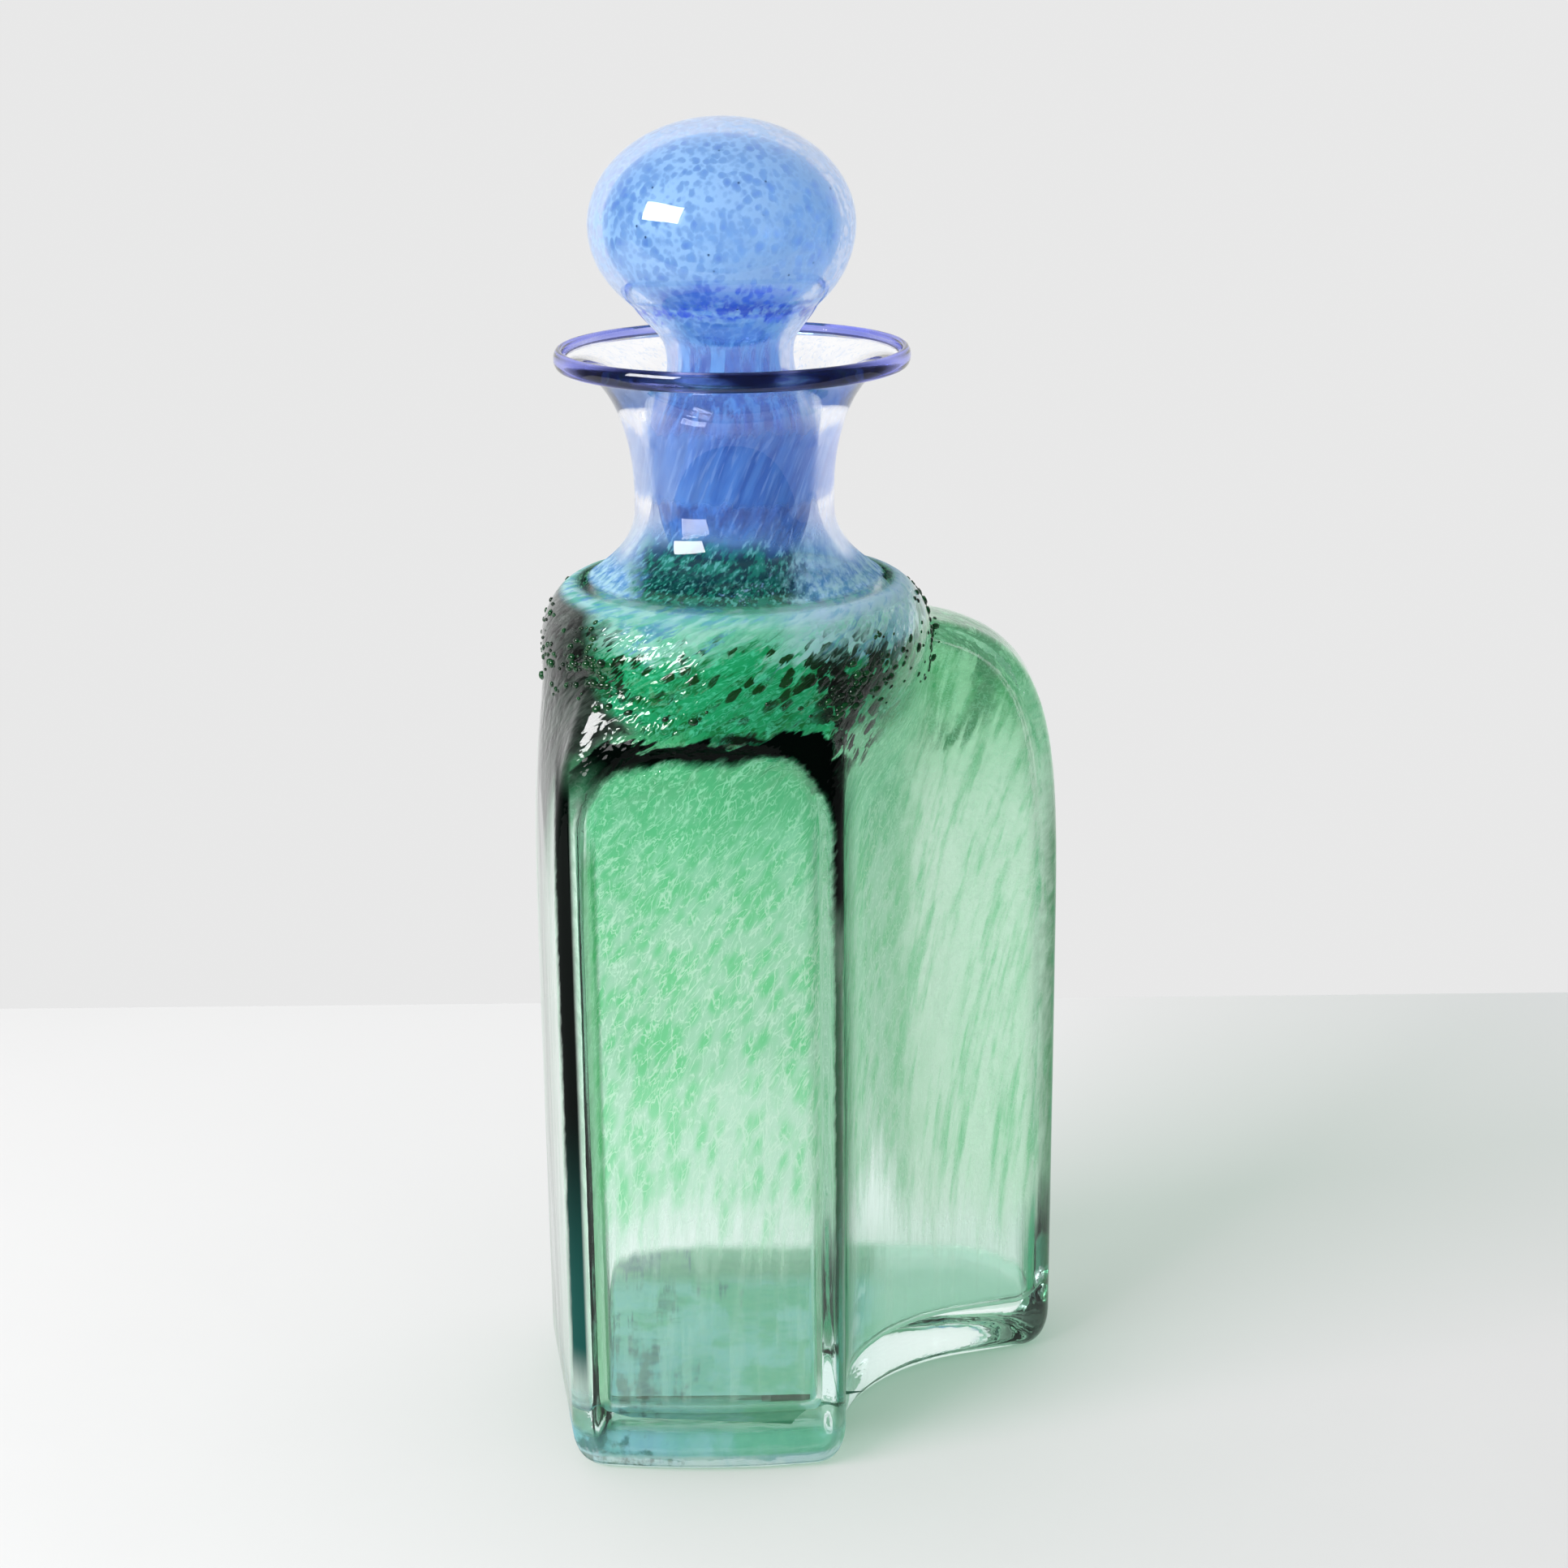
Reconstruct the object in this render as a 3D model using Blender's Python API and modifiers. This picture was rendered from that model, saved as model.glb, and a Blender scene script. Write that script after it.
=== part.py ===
"""Stoppered glass decanter with a comma-shaped body.

A mould-blown green flask has a round shoulder, a sunk arched front panel, a concave right side and a
wing at the back right. A blue gathered neck flares from the shoulder to a mouth with a cobalt trail
round its edge. A hollow blown stopper stands in the neck on a ground taper and lifts straight out.
Metres, +Z up. The neck axis is x = 0, y = 0, the table is z = 0 and the front panel faces -Y.
"""

import math

import bpy
import bmesh
from mathutils import Matrix, Vector

# Clearance between glass parts that touch or are fused on the real object
GAP = 0.0003

# Body in plan, from the neck axis to each side before the corners are rounded
FRONT_SIDE = 0.0395
FRONT_BULGE = 0.0040
LEFT_SIDE_AT_FRONT = 0.0365
LEFT_SIDE_AT_BACK = 0.0505
BACK_SIDE = 0.0460
SCOOP_SIDE = 0.0215
SCOOP_DEPTH = 0.0379
WING_SIDE = 0.0697
WING_FRONT_FACE = 0.0131
FRONT_LEFT_ROUND = 0.0070
FRONT_BULGE_ROUND = 0.1500
FRONT_RIGHT_ROUND = 0.0060
SCOOP_ROUND = 0.0400
WING_TIP_ROUND = 0.0060
WING_BACK_ROUND = 0.0220
BACK_LEFT_ROUND = 0.0300

# Body in height, the shoulder levels measured down from the crease where the neck sits
BODY_HEIGHT = 0.1873
CREASE_RADIUS = 0.0310
SHOULDER_RADIUS = 0.0407
SHOULDER_DROP = 0.0133
WING_TOP_DROP = 0.0109
WING_CURVE_DROP = 0.1059
WING_SQUARENESS = 5.0
SCOOP_START_DROP = 0.0133
SCOOP_END_DROP = 0.0493
SHOULDER_FILLET = 0.0060
HEEL_WIDTH = 0.0045
HEEL_HEIGHT = 0.0090

# Glass thickness of the body
WALL = 0.0040
CREASE_WALL = 0.0047
FLOOR = 0.0110
INNER_CORNER_FILL = 0.0030
INNER_HEEL_WIDTH = 0.0060
INNER_HEEL_HEIGHT = 0.0090

# Sunk front panel with an arched top
PANEL_LEFT = 0.0330
PANEL_RIGHT = 0.0200
PANEL_FOOT = 0.0060
PANEL_TOP_DROP = 0.0245
PANEL_ARCH_ROUND = 0.0200
PANEL_DEPTH = 0.0035
PANEL_EDGE = 0.0060

# Neck, heights measured up from its foot on the crease
NECK_HEIGHT = 0.0460
NECK_WAIST_RADIUS = 0.0206
NECK_COVE_HEIGHT = 0.0150
NECK_FLARE_START = 0.0178
NECK_RIM_RADIUS = 0.0338
NECK_RIM_THICKNESS = 0.0022
NECK_WALL = 0.0036
COVE_CURVE = 2.2
BORE_FLARE_START = 0.0264

# Ground joint between neck and stopper: radius at mid height, half taper and length
SEAT_HEIGHT = 0.0244
SEAT_LENGTH = 0.0100
SEAT_SLOPE = 0.05

# Cobalt trail round the mouth
LIP_WIDTH = 0.0022
LIP_HEIGHT = 0.0040
LIP_RISE = 0.0006

# Stopper, heights measured from the middle of the ground joint
PLUG_LENGTH_BELOW = 0.0195
PLUG_END_RADIUS = 0.0134
PLUG_END_ROUND = 0.0016
PLUG_BULGE_RADIUS = 0.0173
PLUG_BULGE_HEIGHT = 0.0080
STOPPER_WAIST_RADIUS = 0.0129
STOPPER_WAIST_HEIGHT = 0.0205
BALL_RADIUS = 0.0270
BALL_CENTRE_HEIGHT = 0.0473
BALL_TOP_HALF = 0.0212
BALL_LOWER_HALF = 0.0222
BALL_COVE_ANGLE = math.radians(45.0)
STOPPER_WALL = 0.0030
STOPPER_MOUTH_RADIUS = 0.0080

# Mesh fineness
ARC_STEP = math.radians(13.0)
SIDE_STEP = 0.0060
TURN_STEPS = 36
SHOULDER_LEVELS = 5
WING_LEVELS = 16
WALL_LEVELS = 5
HEEL_LEVELS = 3
CURVE_STEPS = 6
BALL_STEPS = 12

# Levels that several parts share
NECK_FOOT_Z = BODY_HEIGHT + GAP
SEAT_Z = NECK_FOOT_Z + SEAT_HEIGHT
SEAT_RADIUS = NECK_WAIST_RADIUS - NECK_WALL


def clear_scene():
    for item in list(bpy.data.objects):
        bpy.data.objects.remove(item, do_unlink=True)


def glass(name, colour, roughness):
    material = bpy.data.materials.new(name)
    material.use_nodes = True
    shader = material.node_tree.nodes["Principled BSDF"]
    shader.inputs["Base Color"].default_value = (*colour, 1.0)
    shader.inputs["Roughness"].default_value = roughness
    shader.inputs["Metallic"].default_value = 0.0
    shader.inputs["Transmission Weight"].default_value = 0.85
    material.diffuse_color = (*colour, 1.0)
    return material


def smoothstep(value):
    value = min(1.0, max(0.0, value))
    return value * value * (3.0 - 2.0 * value)


def smooth_max(first, second, width):
    overlap = max(width - abs(first - second), 0.0) / width
    return max(first, second) + overlap * overlap * width / 4.0


def plan_corners():
    """Corners of the body's plan, counter-clockwise from above, each with its rounding."""
    middle = (SCOOP_SIDE - LEFT_SIDE_AT_FRONT) / 2.0
    return [
        (Vector((-LEFT_SIDE_AT_FRONT, -FRONT_SIDE)), FRONT_LEFT_ROUND),
        (Vector((middle, -FRONT_SIDE - FRONT_BULGE)), FRONT_BULGE_ROUND),
        (Vector((SCOOP_SIDE, -FRONT_SIDE)), FRONT_RIGHT_ROUND),
        (Vector((SCOOP_SIDE, SCOOP_DEPTH - FRONT_SIDE)), SCOOP_ROUND),
        (Vector((WING_SIDE, WING_FRONT_FACE)), WING_TIP_ROUND),
        (Vector((WING_SIDE, BACK_SIDE)), WING_BACK_ROUND),
        (Vector((-LEFT_SIDE_AT_BACK, BACK_SIDE)), BACK_LEFT_ROUND),
    ]


def plan_arcs(inset, soften):
    """Roundings of the plan moved inwards by inset, its convex corners rounder by soften."""
    corners = plan_corners()
    count = len(corners)
    arcs = []
    for index, (corner, rounding) in enumerate(corners):
        into = (corner - corners[index - 1][0]).normalized()
        away = (corners[(index + 1) % count][0] - corner).normalized()
        out_before = Vector((into.y, -into.x))
        out_after = Vector((away.y, -away.x))
        turn = math.atan2(into.cross(away), into.dot(away))
        side = math.copysign(1.0, turn)
        shift = inset / (1.0 + out_before.dot(out_after))
        moved = corner - (out_before + out_after) * shift
        radius = rounding - side * inset
        if side > 0.0:
            radius = radius + soften
        reach = radius * math.tan(abs(turn) / 2.0)
        arcs.append({"corner": moved, "into": into, "out": out_before, "turn": turn, "reach": reach})

    # A rounding is limited to the side that it has
    for arc, follower in zip(arcs, arcs[1:] + arcs[:1]):
        length = (follower["corner"] - arc["corner"]).length
        share = length / max(length, arc["reach"] + follower["reach"] + GAP)
        arc["reach"] *= share
        follower["reach"] *= share
    return arcs


def straight_between(arc, follower):
    """Both ends of the straight side from one rounding to the next."""
    away = (follower["corner"] - arc["corner"]).normalized()
    return arc["corner"] + away * arc["reach"], follower["corner"] - away * follower["reach"]


def plan_outline(inset, soften):
    """Points of the plan moved inwards by inset, as many for every inset."""
    arcs = plan_arcs(inset, soften)
    plain_arcs = plan_arcs(0.0, 0.0)
    points = []
    for index, arc in enumerate(arcs):
        following = (index + 1) % len(arcs)
        side = math.copysign(1.0, arc["turn"])
        half_turn = abs(arc["turn"]) / 2.0
        radius = arc["reach"] / math.tan(half_turn)
        centre = arc["corner"] - arc["into"] * arc["reach"] - arc["out"] * side * radius
        plain_length = 2.0 * half_turn * plain_arcs[index]["reach"] / math.tan(half_turn)
        steps = max(2, math.ceil(2.0 * half_turn / ARC_STEP), math.ceil(plain_length / SIDE_STEP))
        for step in range(steps + 1):
            spoke = Matrix.Rotation(arc["turn"] * step / steps, 2) @ arc["out"]
            points.append(centre + spoke * side * radius)
        start, finish = straight_between(arc, arcs[following])
        plain_start, plain_finish = straight_between(plain_arcs[index], plain_arcs[following])
        fills = max(1, math.ceil((plain_finish - plain_start).length / SIDE_STEP))
        for fill in range(1, fills):
            points.append(start.lerp(finish, fill / fills))
    return points


def panel_depth(x, z):
    """How far the front is sunk at a place on it, nothing outside the arched panel."""
    half_width = (PANEL_LEFT + PANEL_RIGHT) / 2.0
    top = BODY_HEIGHT - PANEL_TOP_DROP
    half_height = (top - PANEL_FOOT) / 2.0
    across = abs(x - (PANEL_RIGHT - PANEL_LEFT) / 2.0)
    up = z - (top + PANEL_FOOT) / 2.0
    rounding = PANEL_ARCH_ROUND if up > 0.0 else PANEL_EDGE
    corner = Vector((across - half_width + rounding, abs(up) - half_height + rounding))
    outside = Vector((max(corner.x, 0.0), max(corner.y, 0.0))).length
    inside = rounding - outside - min(max(corner.x, corner.y), 0.0)
    return PANEL_DEPTH * smoothstep(inside / PANEL_EDGE)


class BodySurface:
    """The outer or the inner surface of the body, a loft from a round crease to the plan."""

    def __init__(self, thickness, crease_radius):
        self.thickness = thickness
        self.crease_radius = crease_radius
        self.shoulder_radius = SHOULDER_RADIUS - thickness
        self.shoulder_drop = SHOULDER_DROP + thickness
        self.wing_top = BODY_HEIGHT - WING_TOP_DROP - thickness
        self.wing_foot = BODY_HEIGHT - WING_CURVE_DROP

    def shoulder(self, height):
        """Radius of the round shoulder under the crease."""
        share = (height - BODY_HEIGHT + self.shoulder_drop) / self.shoulder_drop
        share = min(1.0, max(0.0, share))
        swell = math.sqrt(1.0 - share * share)
        return self.crease_radius + (self.shoulder_radius - self.crease_radius) * swell

    def plan_share(self, height):
        """Share of the plan's full size that the body has at a height."""
        share = (height - self.wing_foot) / (self.wing_top - self.wing_foot)
        share = min(1.0, max(0.0, share))
        return (1.0 - share ** WING_SQUARENESS) ** (1.0 / WING_SQUARENESS)

    def ring(self, outline, height):
        shoulder = self.shoulder(height)
        plan_share = self.plan_share(height)
        below_crease = BODY_HEIGHT - height
        fade = smoothstep((below_crease - SCOOP_START_DROP) / (SCOOP_END_DROP - SCOOP_START_DROP))
        ring = []
        for point in outline:
            crown = smooth_max(shoulder, point.length * plan_share, SHOULDER_FILLET)
            reach = crown - max(crown - point.length, 0.0) * fade
            place = point.normalized() * reach
            if place.y < 0.0 and point.y < self.thickness - FRONT_SIDE + PANEL_EDGE:
                place.y += panel_depth(place.x, height)
            ring.append(Vector((place.x, place.y, height)))
        return ring

    def levels(self, lowest):
        """Heights of the rings from the crease down to where the heel starts."""
        heights = []
        for step in range(SHOULDER_LEVELS):
            angle = math.pi / 2.0 * step / SHOULDER_LEVELS
            heights.append(BODY_HEIGHT - self.shoulder_drop * (1.0 - math.cos(angle)))
        power = 2.0 / WING_SQUARENESS
        for step in range(2, WING_LEVELS):
            angle = math.pi / 2.0 * step / WING_LEVELS
            drop = (self.wing_top - self.wing_foot) * math.cos(angle) ** power
            heights.append(self.wing_foot + drop)
        heights = sorted(set(heights), reverse=True)
        for step in range(WALL_LEVELS + 1):
            heights.append(self.wing_foot + (lowest - self.wing_foot) * step / WALL_LEVELS)
        return heights


def outer_rings():
    surface = BodySurface(0.0, CREASE_RADIUS)
    outline = plan_outline(0.0, 0.0)
    rings = [surface.ring(outline, height) for height in surface.levels(HEEL_HEIGHT)]
    for step in range(1, HEEL_LEVELS + 1):
        angle = math.pi / 2.0 * step / HEEL_LEVELS
        inset = HEEL_WIDTH * (1.0 - math.cos(angle))
        height = HEEL_HEIGHT * (1.0 - math.sin(angle))
        rings.append(surface.ring(plan_outline(inset, inset / 2.0), height))
    return rings


def inner_rings():
    surface = BodySurface(WALL, CREASE_RADIUS - CREASE_WALL)
    outline = plan_outline(WALL, INNER_CORNER_FILL)
    lowest = FLOOR + INNER_HEEL_HEIGHT
    rings = [surface.ring(outline, height) for height in surface.levels(lowest)]
    for step in range(1, HEEL_LEVELS + 1):
        angle = math.pi / 2.0 * step / HEEL_LEVELS
        extra = INNER_HEEL_WIDTH * (1.0 - math.cos(angle))
        height = lowest - INNER_HEEL_HEIGHT * math.sin(angle)
        rings.append(surface.ring(plan_outline(WALL + extra, INNER_CORNER_FILL + extra), height))
    return rings


def loft_shell(name, outer, inner):
    """Closed body between two stacks of rings, joined round the top and capped at the bottom."""
    form = bmesh.new()
    outer_verts = [[form.verts.new(point) for point in ring] for ring in outer]
    inner_verts = [[form.verts.new(point) for point in ring] for ring in inner]
    stack = outer_verts[::-1] + inner_verts
    count = len(stack[0])
    for lower, upper in zip(stack, stack[1:]):
        for index in range(count):
            after = (index + 1) % count
            form.faces.new((lower[index], lower[after], upper[after], upper[index]))
    form.faces.new(outer_verts[-1][::-1])
    form.faces.new(inner_verts[-1])
    mesh = bpy.data.meshes.new(name)
    form.to_mesh(mesh)
    form.free()
    return mesh


def curve(start, start_pull, end_pull, end, steps):
    """Points after start along a cubic curve in a profile."""
    points = []
    for step in range(1, steps + 1):
        share = step / steps
        rest = 1.0 - share
        points.append((
            rest ** 3 * start[0] + 3.0 * rest * rest * share * start_pull[0]
            + 3.0 * rest * share * share * end_pull[0] + share ** 3 * end[0],
            rest ** 3 * start[1] + 3.0 * rest * rest * share * start_pull[1]
            + 3.0 * rest * share * share * end_pull[1] + share ** 3 * end[1],
        ))
    return points


def turned_mesh(name, profile, closed):
    """Mesh line at +X for a Screw modifier, down its outer side and up its inner side."""
    mesh = bpy.data.meshes.new(name)
    edges = [(index, index + 1) for index in range(len(profile) - 1)]
    if closed:
        edges.append((len(profile) - 1, 0))
    mesh.from_pydata([(radius, 0.0, height) for radius, height in profile], edges, [])
    return mesh


def add_part(collection, name, mesh, material, height):
    part = bpy.data.objects.new(name, mesh)
    part.location = (0.0, 0.0, height)
    mesh.materials.append(material)
    collection.objects.link(part)
    return part


def turn(part):
    screw = part.modifiers.new("Turn", 'SCREW')
    screw.axis = 'Z'
    screw.steps = TURN_STEPS
    screw.render_steps = TURN_STEPS
    screw.use_merge_vertices = True
    screw.merge_threshold = 0.00001
    screw.use_smooth_shade = True


def bore_radius(height):
    """Ground taper of the neck, its radius at a height above the neck's foot."""
    return SEAT_RADIUS + SEAT_SLOPE * (height - SEAT_HEIGHT)


def neck_profile():
    foot_inside = CREASE_RADIUS - CREASE_WALL
    flare_width = NECK_RIM_RADIUS - NECK_WAIST_RADIUS
    flare_height = NECK_HEIGHT - NECK_RIM_THICKNESS - NECK_FLARE_START
    bore_flare_width = NECK_RIM_RADIUS - bore_radius(BORE_FLARE_START)
    bore_flare_height = NECK_HEIGHT - BORE_FLARE_START
    seat_foot = SEAT_HEIGHT - SEAT_LENGTH / 2.0
    outer = []
    for step in range(CURVE_STEPS, -1, -1):
        angle = math.pi / 2.0 * step / CURVE_STEPS
        outer.append((
            NECK_WAIST_RADIUS + flare_width * (1.0 - math.cos(angle)),
            NECK_FLARE_START + flare_height * math.sin(angle),
        ))
    for step in range(CURVE_STEPS, -1, -1):
        share = step / CURVE_STEPS
        outer.append((
            NECK_WAIST_RADIUS + (CREASE_RADIUS - NECK_WAIST_RADIUS) * (1.0 - share) ** COVE_CURVE,
            NECK_COVE_HEIGHT * share,
        ))
    inner = []
    for step in range(CURVE_STEPS):
        share = step / CURVE_STEPS
        inner.append((
            bore_radius(seat_foot) + (foot_inside - bore_radius(seat_foot)) * (1.0 - share) ** COVE_CURVE,
            seat_foot * share,
        ))
    inner.append((bore_radius(seat_foot), seat_foot))
    for step in range(CURVE_STEPS + 1):
        angle = math.pi / 2.0 * step / CURVE_STEPS
        inner.append((
            bore_radius(BORE_FLARE_START) + bore_flare_width * (1.0 - math.cos(angle)),
            BORE_FLARE_START + bore_flare_height * math.sin(angle),
        ))
    return outer + inner


def lip_profile():
    """Oval section of the trail, clockwise seen from the front so that it faces out."""
    centre_radius = NECK_RIM_RADIUS + GAP + LIP_WIDTH / 2.0
    centre_height = NECK_HEIGHT - NECK_RIM_THICKNESS / 2.0 + LIP_RISE
    steps = CURVE_STEPS + 4
    points = []
    for step in range(steps):
        angle = math.pi / 2.0 - 2.0 * math.pi * step / steps
        points.append((
            centre_radius + LIP_WIDTH / 2.0 * math.cos(angle),
            centre_height + LIP_HEIGHT / 2.0 * math.sin(angle),
        ))
    return points


def ball_side(radius, top_half, lower_half, steps):
    """Points down the side of the ball, from its top to where the cove starts."""
    points = []
    for step in range(steps + 1):
        angle = math.pi / 2.0 - (math.pi / 2.0 + BALL_COVE_ANGLE) * step / steps
        half = top_half if angle > 0.0 else lower_half
        points.append((radius * math.cos(angle), BALL_CENTRE_HEIGHT + half * math.sin(angle)))
    points[0] = (0.0, BALL_CENTRE_HEIGHT + top_half)
    return points


def stopper_side(thickness):
    """Points down the side of the stopper, from the top of the ball to the foot of the taper."""
    points = ball_side(
        BALL_RADIUS - thickness, BALL_TOP_HALF - thickness, BALL_LOWER_HALF - thickness, BALL_STEPS
    )
    cove = points[-1]
    waist = (STOPPER_WAIST_RADIUS - thickness, STOPPER_WAIST_HEIGHT)
    bulge = (PLUG_BULGE_RADIUS - thickness, PLUG_BULGE_HEIGHT)
    seat_top = (bore_radius(SEAT_HEIGHT + SEAT_LENGTH / 2.0) - GAP - thickness, SEAT_LENGTH / 2.0)
    seat_foot = (bore_radius(SEAT_HEIGHT - SEAT_LENGTH / 2.0) - GAP - thickness, -SEAT_LENGTH / 2.0)
    fall = (cove[1] - waist[1]) / 2.0
    along = fall * cove[0] / BALL_RADIUS
    points += curve(cove, (cove[0] - along, cove[1] - fall), (waist[0], waist[1] + fall), waist, CURVE_STEPS)
    drop = (waist[1] - bulge[1]) / 2.0
    points += curve(waist, (waist[0], waist[1] - drop), (bulge[0], bulge[1] + drop), bulge, CURVE_STEPS)
    points += [seat_top, seat_foot]
    return points


def stopper_profile():
    end = -PLUG_LENGTH_BELOW
    outer = stopper_side(0.0)
    inner = stopper_side(STOPPER_WALL)
    rim = [
        (PLUG_END_RADIUS, end + PLUG_END_ROUND * 1.5),
        (PLUG_END_RADIUS - PLUG_END_ROUND * 0.3, end + PLUG_END_ROUND * 0.3),
        (PLUG_END_RADIUS - PLUG_END_ROUND, end),
        (STOPPER_MOUTH_RADIUS + PLUG_END_ROUND, end),
        (STOPPER_MOUTH_RADIUS, end + PLUG_END_ROUND),
    ]
    return outer + rim + inner[::-1]


def build():
    clear_scene()
    collection = bpy.data.collections.new("decanter")
    bpy.context.scene.collection.children.link(collection)

    green = glass("green_glass", (0.16, 0.55, 0.33), 0.05)
    blue = glass("blue_glass", (0.22, 0.42, 0.80), 0.05)
    cobalt = glass("cobalt_glass", (0.06, 0.05, 0.42), 0.04)
    pale_blue = glass("pale_blue_glass", (0.33, 0.54, 0.88), 0.05)

    body_mesh = loft_shell("flask_body", outer_rings(), inner_rings())
    add_part(collection, "flask_body", body_mesh, green, 0.0)
    body_mesh.shade_smooth()
    body_mesh.set_sharp_from_angle(angle=math.radians(40.0))

    neck_mesh = turned_mesh("neck", neck_profile(), True)
    turn(add_part(collection, "neck", neck_mesh, blue, NECK_FOOT_Z))

    lip_mesh = turned_mesh("lip_wrap", lip_profile(), True)
    turn(add_part(collection, "lip_wrap", lip_mesh, cobalt, NECK_FOOT_Z))

    stopper_mesh = turned_mesh("stopper", stopper_profile(), False)
    turn(add_part(collection, "stopper", stopper_mesh, pale_blue, SEAT_Z))


build()
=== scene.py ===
# %% [markdown]
# # A blown glass decanter
# The real object is two loose pieces of glass: a green flask with a blue neck and a cobalt trail round
# its mouth, and a hollow blue ball on a ground plug that stands in the neck. The CAD model fixes where
# everything is. This file gives each piece a smooth skin and a glass of its own, then a camera, a floor
# and light.

import math
import random

import bpy
import numpy as np
from mathutils import Matrix, Quaternion, Vector


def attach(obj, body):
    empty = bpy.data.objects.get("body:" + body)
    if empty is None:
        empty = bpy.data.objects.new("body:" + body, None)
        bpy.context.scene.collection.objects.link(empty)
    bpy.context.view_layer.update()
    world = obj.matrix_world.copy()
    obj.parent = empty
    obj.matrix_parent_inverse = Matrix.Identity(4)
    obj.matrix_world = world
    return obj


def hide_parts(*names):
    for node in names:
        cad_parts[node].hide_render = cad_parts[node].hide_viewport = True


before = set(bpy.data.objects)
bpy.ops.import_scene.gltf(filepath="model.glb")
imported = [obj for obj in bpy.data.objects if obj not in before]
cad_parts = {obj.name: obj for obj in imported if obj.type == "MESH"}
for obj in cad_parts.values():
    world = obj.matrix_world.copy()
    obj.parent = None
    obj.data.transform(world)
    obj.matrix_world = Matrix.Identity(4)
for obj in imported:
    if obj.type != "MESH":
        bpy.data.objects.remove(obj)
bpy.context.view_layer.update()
bpy.ops.object.select_all(action='DESELECT')

# %% [markdown]
# ## Camera
# A photographer stands about half a metre off and looks down a little, so that the round mouth shows as
# an oval. Place, tilt and lens were found from the ovals of the mouth and of the crease under the neck and
# from the outline of the base on the table.

# %% Place the camera
CAMERA_PLACE = (0.0096, -0.5765, 0.3213)
CAMERA_DOWN = math.radians(17.3)
CAMERA_ROLL = math.radians(0.6)
FOCAL_PIXELS = 3500.0
PHOTO_PIXELS = 1932.0
SENSOR_WIDTH = 36.0

camera_data = bpy.data.cameras.new("Camera")
camera_data.sensor_width = SENSOR_WIDTH
camera_data.lens = SENSOR_WIDTH * FOCAL_PIXELS / PHOTO_PIXELS
camera = bpy.data.objects.new("Camera", camera_data)
camera.location = CAMERA_PLACE
camera.rotation_mode = 'QUATERNION'
level = Quaternion((1, 0, 0), math.pi / 2 - CAMERA_DOWN)
camera.rotation_quaternion = level @ Quaternion((0, 0, 1), -CAMERA_ROLL)
bpy.context.scene.collection.objects.link(camera)
bpy.context.scene.camera = camera
print("lens in mm:", round(camera_data.lens, 1))

# %% [markdown]
# ## Helpers for modelling
# Operators act on whatever is selected, so every step starts from an empty selection and then picks what
# it needs, by its place. The places of all vertices are read and set in one go, which is many times
# quicker than one by one.

# %% Select and apply
def only(piece):
    """Make one object the only selected and active one."""
    bpy.ops.object.select_all(action='DESELECT')
    piece.select_set(True)
    bpy.context.view_layer.objects.active = piece


def in_edit_mode(piece, steps):
    """Run the steps in edit mode with all of the piece selected, then leave it."""
    only(piece)
    bpy.ops.object.mode_set(mode='EDIT')
    bpy.ops.mesh.select_all(action='SELECT')
    steps()
    bpy.ops.object.mode_set(mode='OBJECT')


def pick_edges(piece, rule):
    """Select the edges that a rule names and no others, and stay in edit mode."""
    only(piece)
    bpy.ops.object.mode_set(mode='EDIT')
    bpy.ops.mesh.select_mode(type='EDGE')
    bpy.ops.mesh.select_all(action='DESELECT')
    bpy.ops.object.mode_set(mode='OBJECT')
    for edge in piece.data.edges:
        edge.select = rule(edge)
    bpy.ops.object.mode_set(mode='EDIT')


# %% Places and numbers on vertices
def set_places(piece, places):
    """Give every vertex of a piece its place."""
    piece.data.vertices.foreach_set("co", np.asarray(places, dtype=np.float32).ravel())
    piece.data.update()


def places_of(piece):
    """All vertex places of a piece as rows of x, y and z."""
    places = np.empty(len(piece.data.vertices) * 3, dtype=np.float32)
    piece.data.vertices.foreach_get("co", places)
    return places.reshape(-1, 3).astype(float)


def set_point_value(piece, name, values):
    """Store one number per vertex, for a material to read."""
    attribute = piece.data.attributes.new(name, 'FLOAT', 'POINT')
    attribute.data.foreach_set("value", np.asarray(values, dtype=np.float32))


def report(piece):
    """Print how many triangles a piece has."""
    triangles = sum(len(face.vertices) - 2 for face in piece.data.polygons)
    print(piece.name, "triangles:", triangles)

# %% [markdown]
# ## Plan of the body
# Seen from above, the body is a comma: a nearly straight front, a concave side on the right, a wing at
# the back right and soft corners. The same rounded polygon as in the CAD part is walked here in fine
# steps, closer together where it bends, so that the glass bends light smoothly.

# %% Corners of the plan
MM = 0.001
SAME_PLACE = 0.001 * MM
WALL = 4.0 * MM
FRONT_SIDE = 39.5 * MM
BODY_TOP = 187.45 * MM
ARC_STEPS = 40

# Place of each corner in mm and its rounding in mm, counter-clockwise from above
PLAN_CORNERS = [
    (-36.5, -39.5, 7.0),
    (-7.5, -43.1, 150.0),
    (21.5, -39.5, 6.0),
    (21.5, -1.6, 40.0),
    (69.7, 13.1, 6.0),
    (69.7, 46.0, 22.0),
    (-50.5, 46.0, 30.0),
]
print("corners of the plan:", len(PLAN_CORNERS))

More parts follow.
